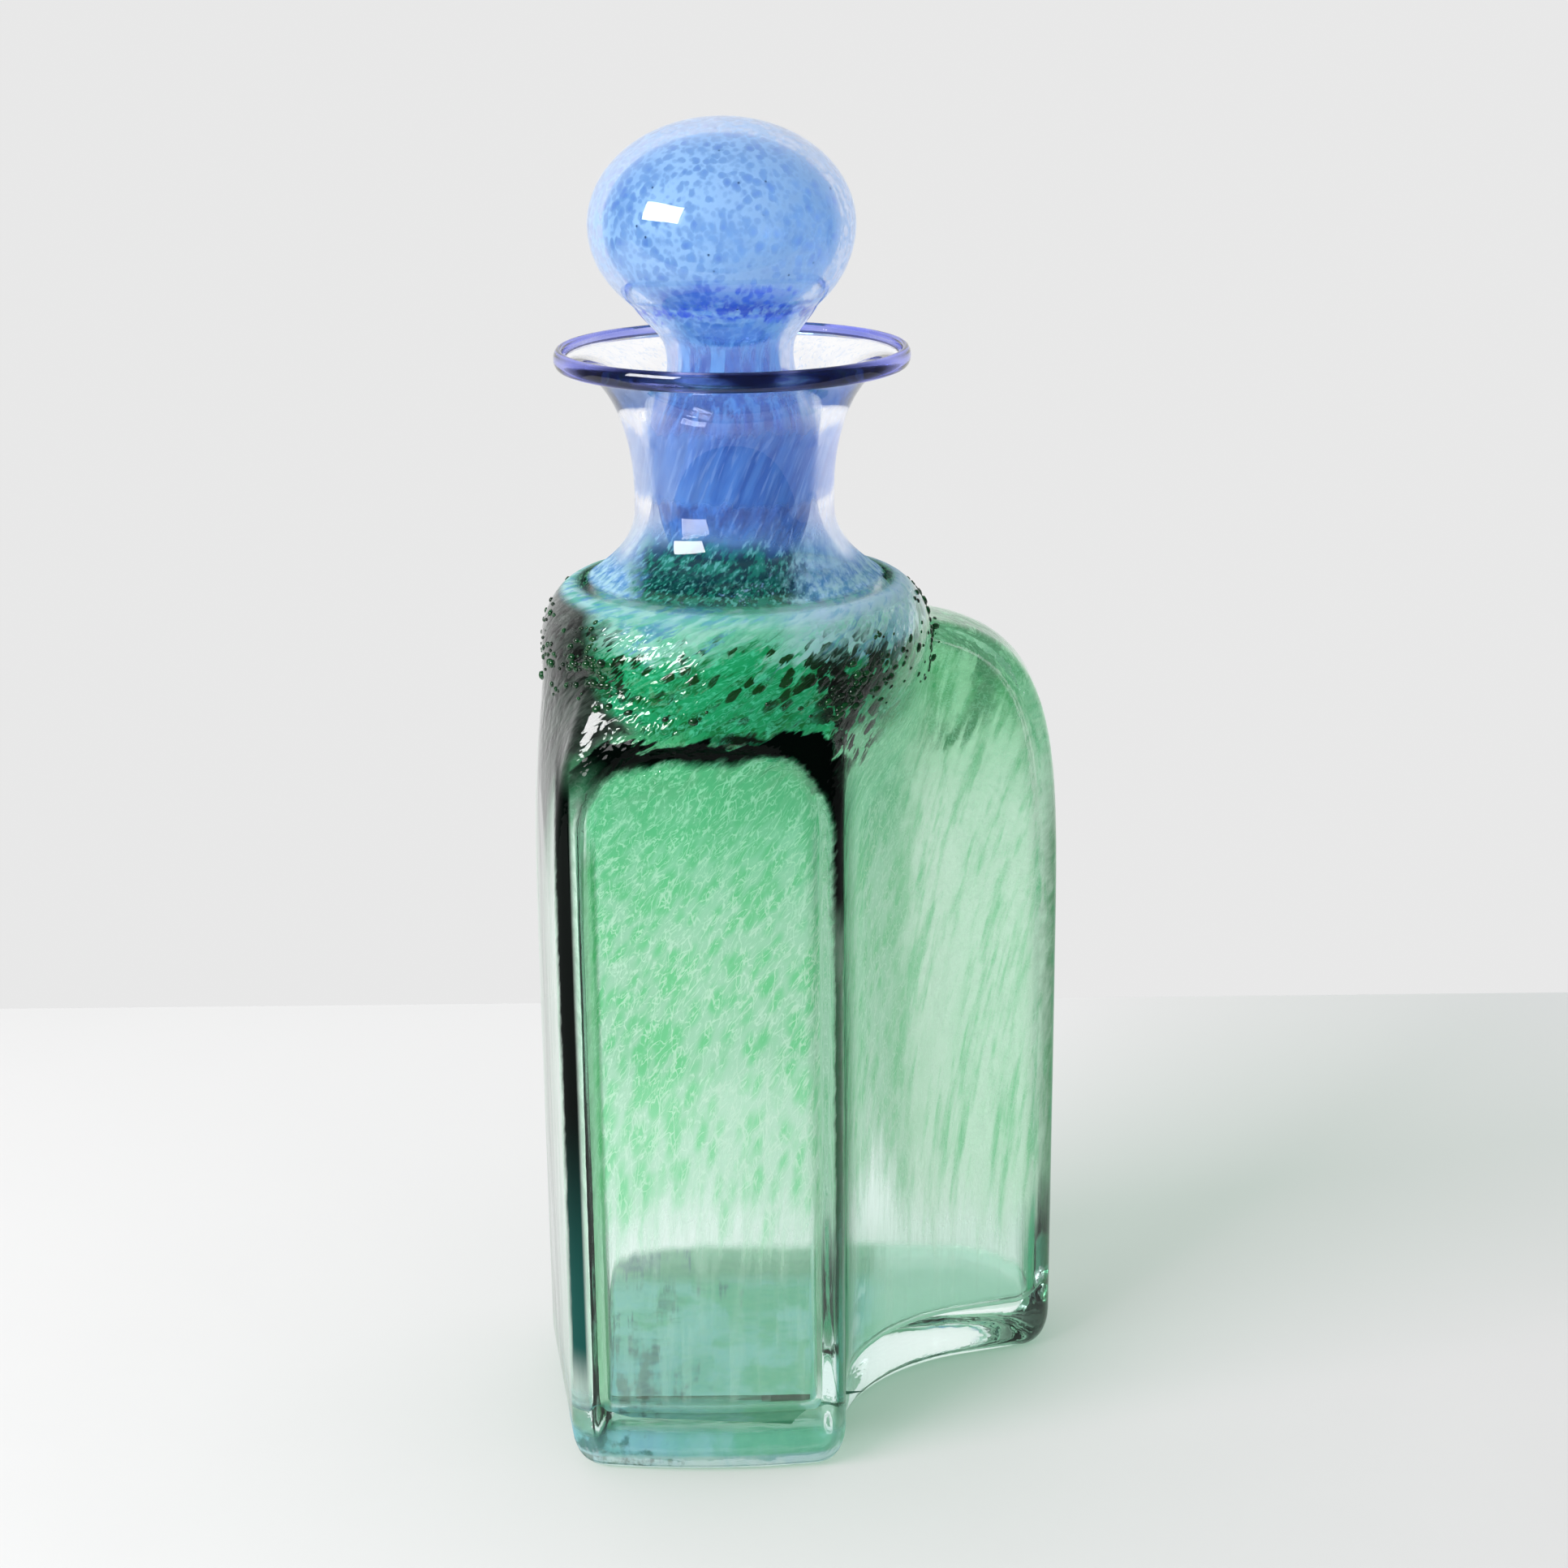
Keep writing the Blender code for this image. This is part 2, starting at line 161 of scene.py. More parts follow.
# %% Round the corners
def rounded_plan(inset, soften):
    """Straight and curved runs of the plan, moved inwards by inset, as a dense line of points."""
    corners = [(Vector((x, y)) * MM, rounding * MM) for x, y, rounding in PLAN_CORNERS]
    arcs = []
    for index, (corner, rounding) in enumerate(corners):
        into = (corner - corners[index - 1][0]).normalized()
        away = (corners[(index + 1) % len(corners)][0] - corner).normalized()
        out_before = Vector((into.y, -into.x))
        out_after = Vector((away.y, -away.x))
        turn = math.atan2(into.cross(away), into.dot(away))
        side = math.copysign(1.0, turn)
        moved = corner - (out_before + out_after) * (inset / (1.0 + out_before.dot(out_after)))
        radius = rounding - side * inset + (soften if side > 0.0 else 0.0)
        arcs.append([moved, into, out_before, turn, radius * math.tan(abs(turn) / 2.0)])
    for arc, follower in zip(arcs, arcs[1:] + arcs[:1]):
        length = (follower[0] - arc[0]).length
        share = length / max(length, arc[4] + follower[4])
        arc[4] *= share
        follower[4] *= share
    line = []
    for corner, into, out, turn, reach in arcs:
        side = math.copysign(1.0, turn)
        radius = reach / math.tan(abs(turn) / 2.0)
        centre = corner - into * reach - out * side * radius
        for step in range(ARC_STEPS + 1):
            angle = turn * step / ARC_STEPS
            spoke = Vector((
                out.x * math.cos(angle) - out.y * math.sin(angle),
                out.x * math.sin(angle) + out.y * math.cos(angle),
            ))
            line.append(centre + spoke * side * radius)
    line = np.array(line)
    apart = np.hypot(*(line - np.roll(line, 1, axis=0)).T) > SAME_PLACE
    return line[apart]


print("points on the rounded plan:", len(rounded_plan(0.0, 0.0)))

# %% Even steps round the plan
BODY_STEPS = 300
BEND_WEIGHT = 0.010


def even_plan(inset, soften):
    """Points round the plan, the same number for every inset, closer together in the corners."""
    line = rounded_plan(inset, soften)
    closed = np.vstack([line, line[:1]])
    runs = np.diff(closed, axis=0)
    lengths = np.hypot(runs[:, 0], runs[:, 1])
    angles = np.unwrap(np.arctan2(runs[:, 1], runs[:, 0]))
    bends = np.abs(np.diff(angles, append=angles[-1]))
    along = np.concatenate([[0.0], np.cumsum(lengths + BEND_WEIGHT * bends)])
    wanted = np.linspace(0.0, along[-1], BODY_STEPS, endpoint=False)
    return np.column_stack([np.interp(wanted, along, closed[:, axis]) for axis in (0, 1)])


print("points on each ring:", len(even_plan(0.0, 0.0)))

# %% [markdown]
# ## Form of the body
# The glassblower blew a round bubble into a mould. Near the neck the bubble stays round, lower down it
# fills the mould, and the smooth maximum of the two gives the shoulder. The front then sinks a few
# millimetres inside an arch. Sculpting could come near this, but the glass would not fit the CAD part,
# so the same formulas are used, on whole rings at once.

# %% Sizes of the form
SHOULDER_RADIUS = 40.7 * MM
CREASE_RADIUS = 31.0 * MM
CREASE_WALL = 4.7 * MM
SHOULDER_DROP = 13.3 * MM
SHOULDER_FILLET = 6.0 * MM
WING_TOP_DROP = 10.9 * MM
WING_CURVE_DROP = 105.9 * MM
WING_SQUARENESS = 5.0
SCOOP_START_DROP = 13.3 * MM
SCOOP_END_DROP = 49.3 * MM
PANEL_LEFT = 33.0 * MM
PANEL_RIGHT = 20.0 * MM
PANEL_FOOT = 6.0 * MM
PANEL_TOP_DROP = 24.5 * MM
PANEL_ARCH_ROUND = 20.0 * MM
PANEL_DEPTH = 3.5 * MM
PANEL_EDGE = 4.5 * MM
FRONT_BAND = 6.0 * MM
INNER_SINK_START = 12.0 * MM
INNER_SINK_LENGTH = 24.0 * MM
print("crease ring radius in mm:", round(1000 * CREASE_RADIUS, 1))

# %% Sunk panel
def smoothstep(value):
    """Nothing to one, with soft ends."""
    value = np.clip(value, 0.0, 1.0)
    return value * value * (3.0 - 2.0 * value)


def panel_inside(x, z):
    """How far a place lies inside the arch, less than nothing outside it."""
    half_width = (PANEL_LEFT + PANEL_RIGHT) / 2.0
    top = BODY_TOP - PANEL_TOP_DROP
    half_height = (top - PANEL_FOOT) / 2.0
    across = np.abs(x - (PANEL_RIGHT - PANEL_LEFT) / 2.0)
    up = z - (top + PANEL_FOOT) / 2.0
    rounding = np.where(up > 0.0, PANEL_ARCH_ROUND, PANEL_EDGE)
    over_x = across - half_width + rounding
    over_z = np.abs(up) - half_height + rounding
    outside = np.hypot(np.maximum(over_x, 0.0), np.maximum(over_z, 0.0))
    return rounding - outside - np.minimum(np.maximum(over_x, over_z), 0.0)


def panel_sink(x, z):
    """How far the front is sunk at a place, nothing outside the arch."""
    return PANEL_DEPTH * smoothstep(panel_inside(x, z) / PANEL_EDGE)


def plain_sink(x, z):
    """The inner face of the front is flat, so the glass is thick in the ridges round the panel."""
    return PANEL_DEPTH * smoothstep((BODY_TOP - z - INNER_SINK_START) / INNER_SINK_LENGTH) + 0.0 * x


print("panel sinks by mm in its middle:", round(1000 * float(panel_sink(0.0, 0.1)), 1))

# %% One ring of the body
def body_ring(plan, z, thickness, crease_radius, sink):
    """One ring of the body at a height, from a plan already moved in by the thickness."""
    drop = SHOULDER_DROP + thickness
    share = np.clip((z - BODY_TOP + drop) / drop, 0.0, 1.0)
    shoulder = crease_radius + (SHOULDER_RADIUS - thickness - crease_radius) * math.sqrt(1.0 - share ** 2)
    wing_top = BODY_TOP - WING_TOP_DROP - thickness
    wing_foot = BODY_TOP - WING_CURVE_DROP
    share = np.clip((z - wing_foot) / (wing_top - wing_foot), 0.0, 1.0)
    plan_share = (1.0 - share ** WING_SQUARENESS) ** (1.0 / WING_SQUARENESS)
    reach = np.hypot(plan[:, 0], plan[:, 1])
    overlap = np.maximum(SHOULDER_FILLET - np.abs(shoulder - reach * plan_share), 0.0) / SHOULDER_FILLET
    crown = np.maximum(shoulder, reach * plan_share) + overlap ** 2 * SHOULDER_FILLET / 4.0
    fade = smoothstep((BODY_TOP - z - SCOOP_START_DROP) / (SCOOP_END_DROP - SCOOP_START_DROP))
    length = crown - np.maximum(crown - reach, 0.0) * fade
    x, y = plan[:, 0] / reach * length, plan[:, 1] / reach * length
    front = smoothstep((thickness - FRONT_SIDE + FRONT_BAND - plan[:, 1]) / FRONT_BAND)
    y = y + sink(x, z) * front * (y < 0.0)
    return np.column_stack([x, y, np.full(len(x), z)])


half_way = body_ring(even_plan(0.0, 0.0), BODY_TOP / 2.0, 0.0, CREASE_RADIUS, panel_sink)
print("ring at half height in mm:", np.round(1000 * np.ptp(half_way[:, :2], axis=0), 1))

# %% [markdown]
# ## Rings of the body
# The skin is a stack of rings, the outer ones down to a round heel and the inner ones down to the flat
# floor of the inside. They lie close together where the form turns quickly, at the shoulder, the top of
# the wing and the arch, and far apart on the plain wall. Thick clear glass shows every facet, so this is
# worth more here than on a dull piece.

# %% Heights of the rings
SHOULDER_RINGS = 14
WING_RINGS = 40
ARCH_RINGS = 26
ARCH_REACH = 2.2
WALL_RINGS = 34
RING_GAP = 0.6 * MM


def wall_heights(thickness, lowest):
    """Heights from the crease down to the heel, close together where the form turns quickly."""
    drop = SHOULDER_DROP + thickness
    turns = np.linspace(0.0, math.pi / 2.0, SHOULDER_RINGS)
    shoulder = BODY_TOP - drop * (1.0 - np.cos(turns))
    wing_foot = BODY_TOP - WING_CURVE_DROP
    span = BODY_TOP - WING_TOP_DROP - thickness - wing_foot
    turns = np.linspace(0.0, math.pi / 2.0, WING_RINGS)[1:-1]
    wing = wing_foot + span * np.cos(turns) ** (2.0 / WING_SQUARENESS)
    arch = np.linspace(BODY_TOP - PANEL_TOP_DROP, BODY_TOP - ARCH_REACH * PANEL_TOP_DROP, ARCH_RINGS)
    wall = np.linspace(wing_foot, lowest, WALL_RINGS)
    heights = np.unique(np.round(np.concatenate([shoulder, wing, arch, wall]), 5))[::-1]
    kept = [BODY_TOP]
    for height in heights:
        if kept[-1] - height > RING_GAP and height - lowest > RING_GAP:
            kept.append(height)
    return kept + [lowest]


print("heights down the outer wall:", len(wall_heights(0.0, 0.0)))

# %% Outer rings down to the heel
HEEL_HEIGHT = 9.0 * MM
HEEL_WIDTH = 4.5 * MM
HEEL_RINGS = 8


def outer_rings():
    """The wall from the crease down, and a quarter oval in to the flat underside."""
    plan = even_plan(0.0, 0.0)
    rings = [
        body_ring(plan, z, 0.0, CREASE_RADIUS, panel_sink)
        for z in wall_heights(0.0, HEEL_HEIGHT)
    ]
    for step in range(1, HEEL_RINGS + 1):
        angle = math.pi / 2.0 * step / HEEL_RINGS
        inset = HEEL_WIDTH * (1.0 - math.cos(angle))
        z = HEEL_HEIGHT * (1.0 - math.sin(angle))
        rings.append(body_ring(even_plan(inset, inset / 2.0), z, 0.0, CREASE_RADIUS, panel_sink))
    return rings


outer = outer_rings()
print("outer rings:", len(outer))

# %% Inner rings down to the floor
FLOOR = 11.0 * MM
INNER_HEEL = 4.0 * MM
INNER_HEEL_WIDTH = 3.5 * MM
INNER_CORNER_FILL = 3.0 * MM


def inner_rings():
    """The inner wall from the crease down, and a quarter oval in to the flat floor of the inside."""
    lowest = FLOOR + INNER_HEEL
    crease = CREASE_RADIUS - CREASE_WALL
    plan = even_plan(WALL, INNER_CORNER_FILL)
    rings = [
        body_ring(plan, z, WALL, crease, plain_sink)
        for z in wall_heights(WALL, lowest)
    ]
    for step in range(1, HEEL_RINGS + 1):
        angle = math.pi / 2.0 * step / HEEL_RINGS
        extra = INNER_HEEL_WIDTH * (1.0 - math.cos(angle))
        z = lowest - INNER_HEEL * math.sin(angle)
        plan = even_plan(WALL + extra, INNER_CORNER_FILL + extra)
        rings.append(body_ring(plan, z, WALL, crease, plain_sink))
    return rings


inner = inner_rings()
print("inner rings:", len(inner))

# %% [markdown]
# ## Build the body
# A grid primitive has the right mesh for a loft: one column for each plan point and one row for each
# ring. Its rows run from the foot up the outside, over the edge at the crease and down the inside, its
# first and last column meet and are merged, and both ends are filled and inset, so that the flat floor
# keeps its flat shading.

# %% Loft rings from a grid
FOOT_INSETS = 3
FOOT_INSET = 0.8 * MM


def lofted(name, rings, outside_rings):
    """A skin through a line of rings, open at both ends, and a mark on all but the outside rings."""
    columns = len(rings[0])
    bpy.ops.mesh.primitive_grid_add(x_subdivisions=columns, y_subdivisions=len(rings) - 1, size=1.0)
    skin = bpy.context.active_object
    skin.name = name
    skin.data.name = name
    places = np.stack([np.vstack([ring, ring[:1]]) for ring in rings])
    set_places(skin, places.reshape(-1, 3))
    set_point_value(skin, "lining", np.repeat(np.arange(len(rings)) >= outside_rings, columns + 1))
    in_edit_mode(skin, lambda: bpy.ops.mesh.remove_doubles(threshold=SAME_PLACE))
    return skin


def close_foot(skin, foot_z):
    """Fill the lowest ring and inset it, so that the flat faces keep their own shading."""
    lowest = np.abs(places_of(skin)[:, 2] - foot_z) < SAME_PLACE
    pick_edges(skin, lambda edge: all(bool(lowest[corner]) for corner in edge.vertices))
    bpy.ops.mesh.edge_face_add()
    bpy.ops.mesh.select_mode(type='FACE')
    for step in range(FOOT_INSETS):
        bpy.ops.mesh.inset(thickness=FOOT_INSET)
    bpy.ops.object.mode_set(mode='OBJECT')


print("insets at each foot:", FOOT_INSETS, "of mm", round(1000 * FOOT_INSET, 1))

# %% Body
body = lofted("flask_skin", outer[::-1] + inner, len(outer))
close_foot(body, outer[-1][0, 2])
close_foot(body, inner[-1][0, 2])
in_edit_mode(body, lambda: bpy.ops.mesh.normals_make_consistent(inside=False))
report(body)

# %% [markdown]
# ## Neck
# A blue gather fused on the shoulder, drawn in to a waist and opened to a wide mouth while it turned on
# the pipe. It is ground inside where the plug sits. It could be a stack of cylinders with bevels, but a
# turned piece is its section spun about the axis, which gives every curve at once.

# %% Curves of the profiles
NECK_FOOT = 187.48 * MM
NECK_HEIGHT = 46.1 * MM
NECK_WAIST = 20.6 * MM
NECK_COVE = 15.0 * MM
NECK_FLARE = 17.8 * MM
RIM_RADIUS = 33.8 * MM
RIM_THICKNESS = 2.2 * MM
NECK_WALL = 3.6 * MM
COVE_CURVE = 2.2
BORE_FLARE = 26.4 * MM
SEAT_HEIGHT = 24.4 * MM
SEAT_LENGTH = 10.0 * MM
SEAT_SLOPE = 0.05
SEAT_RADIUS = NECK_WAIST - NECK_WALL
SEAT_Z = 212.0 * MM
GAP = 0.3 * MM
PROFILE_STEPS = 22


def bore(height):
    """Radius of the ground taper at a height above the foot of the neck."""
    return SEAT_RADIUS + SEAT_SLOPE * (height - SEAT_HEIGHT)


def cubic(start, pull, push, end, steps):
    """Points after start along a cubic curve."""
    points = []
    for step in range(1, steps + 1):
        t = step / steps
        weights = ((1 - t) ** 3, 3 * t * (1 - t) ** 2, 3 * t * t * (1 - t), t ** 3)
        points.append(tuple(
            sum(weight * point[axis] for weight, point in zip(weights, (start, pull, push, end)))
            for axis in (0, 1)
        ))
    return points


print("radius of the bore at the seat in mm:", round(1000 * bore(SEAT_HEIGHT), 1))

# %% Section of the neck
def neck_section():
    """Down the outside of the neck and up its bore, heights above its foot."""
    flare_width = RIM_RADIUS - NECK_WAIST
    flare_height = NECK_HEIGHT - RIM_THICKNESS - NECK_FLARE
    points = []
    for step in range(PROFILE_STEPS, -1, -1):
        angle = math.pi / 2.0 * step / PROFILE_STEPS
        points.append((
            NECK_WAIST + flare_width * (1.0 - math.cos(angle)),
            NECK_FLARE + flare_height * math.sin(angle),
        ))
    for step in range(PROFILE_STEPS, -1, -1):
        t = step / PROFILE_STEPS
        points.append((NECK_WAIST + (CREASE_RADIUS - NECK_WAIST) * (1.0 - t) ** COVE_CURVE, NECK_COVE * t))
    foot_inside = CREASE_RADIUS - CREASE_WALL
    seat_foot = SEAT_HEIGHT - SEAT_LENGTH / 2.0
    for step in range(PROFILE_STEPS + 1):
        t = step / PROFILE_STEPS
        points.append((
            bore(seat_foot) + (foot_inside - bore(seat_foot)) * (1.0 - t) ** COVE_CURVE,
            seat_foot * t,
        ))
    bore_width = RIM_RADIUS - bore(BORE_FLARE)
    for step in range(PROFILE_STEPS + 1):
        angle = math.pi / 2.0 * step / PROFILE_STEPS
        points.append((
            bore(BORE_FLARE) + bore_width * (1.0 - math.cos(angle)),
            BORE_FLARE + (NECK_HEIGHT - BORE_FLARE) * math.sin(angle),
        ))
    return points


print("points in the neck's section:", len(neck_section()))

# %% [markdown]
# ## Spin a section
# A circle primitive is a closed loop of points, which is all that a section needs. Its points are laid
# along the profile, and the spin operator turns it. The stopper's section starts and ends on the axis, so
# the edge between its two ends is taken out first, and the doubles at the poles are merged after.

# %% Spin a section
SPIN_STEPS = 120
POLE_MERGE = 0.002 * MM


def spun(name, section, base, closed):
    """Turn a section about the neck axis, its heights measured from base."""
    bpy.ops.mesh.primitive_circle_add(vertices=len(section), radius=0.01, fill_type='NOTHING')
    piece = bpy.context.active_object
    piece.name = name
    piece.data.name = name
    set_places(piece, [(radius, 0.0, base + height) for radius, height in section])
    if not closed:
        ends = {0, len(section) - 1}
        pick_edges(piece, lambda edge: set(edge.vertices) == ends)
        bpy.ops.mesh.delete(type='EDGE')
        bpy.ops.object.mode_set(mode='OBJECT')

    def turn():
        bpy.ops.mesh.spin(steps=SPIN_STEPS, angle=2.0 * math.pi, center=(0, 0, 0), axis=(0, 0, 1))
        bpy.ops.mesh.select_all(action='SELECT')
        bpy.ops.mesh.remove_doubles(threshold=POLE_MERGE)
        bpy.ops.mesh.normals_make_consistent(inside=False)

    in_edit_mode(piece, turn)
    return piece


neck = spun("neck_glass", neck_section(), NECK_FOOT, True)
report(neck)

# %% [markdown]
# ## Trail round the mouth
# A thread of cobalt glass was laid round the edge of the mouth and melted on. A torus primitive would be
# round all the way, but the thread sagged to an oval, so an oval section is spun like the neck's.

# %% Trail round the mouth
LIP_WIDTH = 2.2 * MM
LIP_TALL = 4.0 * MM
LIP_RISE = 0.6 * MM
LIP_POINTS = 28


def lip_section():
    """Oval section of the trail, its inner side over the rim of the neck."""
    centre = RIM_RADIUS + GAP + LIP_WIDTH / 2.0
    middle = NECK_HEIGHT - RIM_THICKNESS / 2.0 + LIP_RISE
    points = []
    for step in range(LIP_POINTS):
        angle = math.pi / 2.0 - 2.0 * math.pi * step / LIP_POINTS
        points.append((
            centre + LIP_WIDTH / 2.0 * math.cos(angle),
            middle + LIP_TALL / 2.0 * math.sin(angle),
        ))
    return points


lip = spun("lip_trail", lip_section(), NECK_FOOT, True)
report(lip)

# %% [markdown]
# ## Stopper
# One blown bubble: a flattened ball, a waist, a bulge, the ground taper and an open lower end. A sphere
# and a cone joined together would leave a seam where the real one flows, so its section runs down the
# outside, round the mouth of the plug and up the inside, and is spun. The ball leans a little, as in the
# photo, which is done to the finished mesh.

# %% Sizes of the stopper
PLUG_BELOW = 19.5 * MM
PLUG_END = 13.4 * MM
PLUG_END_ROUND = 1.6 * MM
PLUG_BULGE = 17.3 * MM
PLUG_BULGE_HEIGHT = 8.0 * MM
STOPPER_WAIST = 12.9 * MM
STOPPER_WAIST_HEIGHT = 20.5 * MM
BALL_RADIUS = 27.0 * MM
BALL_MIDDLE = 47.3 * MM
BALL_TOP_HALF = 21.2 * MM
BALL_LOWER_HALF = 22.2 * MM
BALL_COVE_ANGLE = math.radians(45.0)
STOPPER_WALL = 3.0 * MM
STOPPER_MOUTH = 8.0 * MM
PLUG_END_FLAT = 0.3
BALL_LEAN = 1.7 * MM
LEAN_FOOT = 222.0 * MM
LEAN_LENGTH = 34.0 * MM
print("width of the ball in mm:", round(2000 * BALL_RADIUS, 1))

# %% Side of the stopper
BALL_STEPS = 44


def stopper_side(thickness):
    """Down the side of the stopper from the top of its ball to the foot of its taper."""
    radius = BALL_RADIUS - thickness
    points = []
    for step in range(BALL_STEPS + 1):
        angle = math.pi / 2.0 - (math.pi / 2.0 + BALL_COVE_ANGLE) * step / BALL_STEPS
        half = (BALL_TOP_HALF if angle > 0.0 else BALL_LOWER_HALF) - thickness
        points.append((max(radius * math.cos(angle), 0.0), BALL_MIDDLE + half * math.sin(angle)))
    points[0] = (0.0, points[0][1])
    cove = points[-1]
    waist = (STOPPER_WAIST - thickness, STOPPER_WAIST_HEIGHT)
    bulge = (PLUG_BULGE - thickness, PLUG_BULGE_HEIGHT)
    seat_top = (bore(SEAT_HEIGHT + SEAT_LENGTH / 2.0) - GAP - thickness, SEAT_LENGTH / 2.0)
    seat_foot = (bore(SEAT_HEIGHT - SEAT_LENGTH / 2.0) - GAP - thickness, -SEAT_LENGTH / 2.0)
    fall = (cove[1] - waist[1]) / 2.0
    along = fall * cove[0] / BALL_RADIUS
    pull, push = (cove[0] - along, cove[1] - fall), (waist[0], waist[1] + fall)
    points += cubic(cove, pull, push, waist, PROFILE_STEPS)
    fall = (waist[1] - bulge[1]) / 2.0
    pull, push = (waist[0], waist[1] - fall), (bulge[0], bulge[1] + fall)
    points += cubic(waist, pull, push, bulge, PROFILE_STEPS)
    return points + [seat_top, seat_foot]


print("points down its side:", len(stopper_side(0.0)))

# %% Spin the stopper and lean its ball
def stopper_section():
    """Down the outside, round the open lower end and up the inside."""
    end = -PLUG_BELOW
    flat = PLUG_END_ROUND * PLUG_END_FLAT
    foot = [
        (PLUG_END, end + PLUG_END_ROUND * 1.5),
        (PLUG_END - flat, end + flat),
        (PLUG_END - PLUG_END_ROUND, end),
        (STOPPER_MOUTH + PLUG_END_ROUND, end),
        (STOPPER_MOUTH, end + PLUG_END_ROUND),
    ]
    return stopper_side(0.0) + foot + stopper_side(STOPPER_WALL)[::-1]


def leaning(piece):
    """Lean the ball a little to the left above its seat, as a shape made by hand does."""
    places = places_of(piece)
    places[:, 0] -= BALL_LEAN * smoothstep((places[:, 2] - LEAN_FOOT) / LEAN_LENGTH)
    set_places(piece, places)


stopper = spun("stopper_glass", stopper_section(), SEAT_Z, False)
leaning(stopper)
report(stopper)

# %% [markdown]
# ## Grains on the shoulder
# The hot shoulder was rolled in crushed dark green glass. The grains melted half in and were drawn out as
# the neck was twisted, and those at the edge still stand proud. One grain is modelled from a sphere of few
# faces, copied, turned along the twist and sunk to its waist, and all copies are joined into one piece.

# %% One grain
GRAIN_COUNT = 620
GRAIN_LOWEST = 166.0 * MM
GRAIN_TOP_FRONT = 171.5 * MM
GRAIN_TOP_SIDE = 184.5 * MM
GRAIN_LENGTHS = (0.8 * MM, 2.6 * MM)
GRAIN_LEAN = math.radians(28.0)
GRAIN_LEAN_SPREAD = 0.35
GRAIN_ROUGHNESS = 0.07

bpy.ops.object.select_all(action='DESELECT')
bpy.ops.mesh.primitive_uv_sphere_add(segments=8, ring_count=5, radius=0.5)
grain = bpy.context.active_object
in_edit_mode(grain, lambda: bpy.ops.transform.vertex_random(
    offset=GRAIN_ROUGHNESS, uniform=0.0, normal=0.0, seed=4
))
report(grain)

# %% [markdown]
# ## Scatter the grains
# The grains lie thickest on both sides of the front and thin out lower down, as crushed glass does when a
# hot shoulder is rolled in it. A particle system would spread them evenly, so each copy gets a place
# drawn at random on the rings, and places that the real one leaves bare are drawn again.

# %% Place and turn of a grain
def join(pieces):
    """Join pieces into the first one."""
    bpy.ops.object.select_all(action='DESELECT')
    for piece in pieces:
        piece.select_set(True)
    bpy.context.view_layer.objects.active = pieces[0]
    bpy.ops.object.join()
    return pieces[0]


def on_shoulder(row, column):
    """Place on the outer rings and the directions along a ring, up the wall and outwards there."""
    above, below = outer[int(row)], outer[int(row) + 1]
    left, right = int(column) % BODY_STEPS, (int(column) + 1) % BODY_STEPS
    down, over = row - int(row), column - int(column)
    high = above[left] * (1.0 - over) + above[right] * over
    low = below[left] * (1.0 - over) + below[right] * over
    along = Vector(above[right] - above[left]).normalized()
    up = Vector(high - low).normalized()
    return Vector(high * (1.0 - down) + low * down), along, up, along.cross(up).normalized()


def grain_turn(along, up, out, length, chance):
    """Axes of a grain as columns, its length along the twist."""
    lean = GRAIN_LEAN + chance.uniform(-GRAIN_LEAN_SPREAD, GRAIN_LEAN_SPREAD)
    long_way = along * math.cos(lean) + up * math.sin(lean)
    width = length * chance.uniform(0.5, 0.85)
    columns = (long_way * length, out.cross(long_way) * width, out * width * chance.uniform(0.6, 0.9))
    return Matrix(columns).transposed().to_4x4()


print("directions at the crease:", [tuple(round(part, 2) for part in way) for way in on_shoulder(0, 0)[1:]])

# %% Scatter the grains
FRONT_MIDDLE = -2.0 * MM
FRONT_SPREAD = 0.9
FRONT_DEPTH = 20.0 * MM
CLUSTER_CENTRE = -4.0 * MM
CLUSTER_MIDDLE = 28.0 * MM
CLUSTER_WIDTH = 7.0 * MM
CLUSTER_BEHIND = 0.4
SPARSE_SHARE = 0.25
TOP_RAGGEDNESS = 6.0 * MM
WING_CLEARANCE = 3.0 * MM
BARE_LEFT = -26.0 * MM
BARE_BELOW = 172.0 * MM
BARE_SHARE = 0.7
GRAIN_DRAW = 11

chance = random.Random(GRAIN_DRAW)
rows = [row for row, ring in enumerate(outer[:-1]) if GRAIN_LOWEST < ring[0, 2] < GRAIN_TOP_SIDE]
grains = [grain]
while len(grains) < GRAIN_COUNT:
    place, along, up, out = on_shoulder(chance.uniform(rows[0], rows[-1]), chance.uniform(0, BODY_STEPS))
    frontness = smoothstep((-place.y - abs(place.x - FRONT_MIDDLE) * FRONT_SPREAD) / FRONT_DEPTH)
    highest = GRAIN_TOP_SIDE + (GRAIN_TOP_FRONT - GRAIN_TOP_SIDE) * float(frontness)
    on_wing = math.hypot(place.x, place.y) > SHOULDER_RADIUS + WING_CLEARANCE
    beside_cluster = (abs(place.x - CLUSTER_CENTRE) - CLUSTER_MIDDLE) / CLUSTER_WIDTH
    clustered = math.exp(-beside_cluster ** 2) if place.y < 0.0 else CLUSTER_BEHIND
    too_high = place.z > highest - chance.random() ** 2 * TOP_RAGGEDNESS
    if too_high or on_wing or chance.random() > SPARSE_SHARE + clustered:
        continue
    at_left = place.x < BARE_LEFT and place.y < 0.0 and place.z < BARE_BELOW
    if at_left and chance.random() < BARE_SHARE:
        continue
    length = GRAIN_LENGTHS[0] + (GRAIN_LENGTHS[1] - GRAIN_LENGTHS[0]) * chance.random() ** 2
    copy = grain.copy()
    copy.data = grain.data.copy()
    copy.data.transform(Matrix.Translation(place) @ grain_turn(along, up, out, length, chance))
    bpy.context.scene.collection.objects.link(copy)
    grains.append(copy)
bpy.data.objects.remove(grains.pop(0))
frit = join(grains)
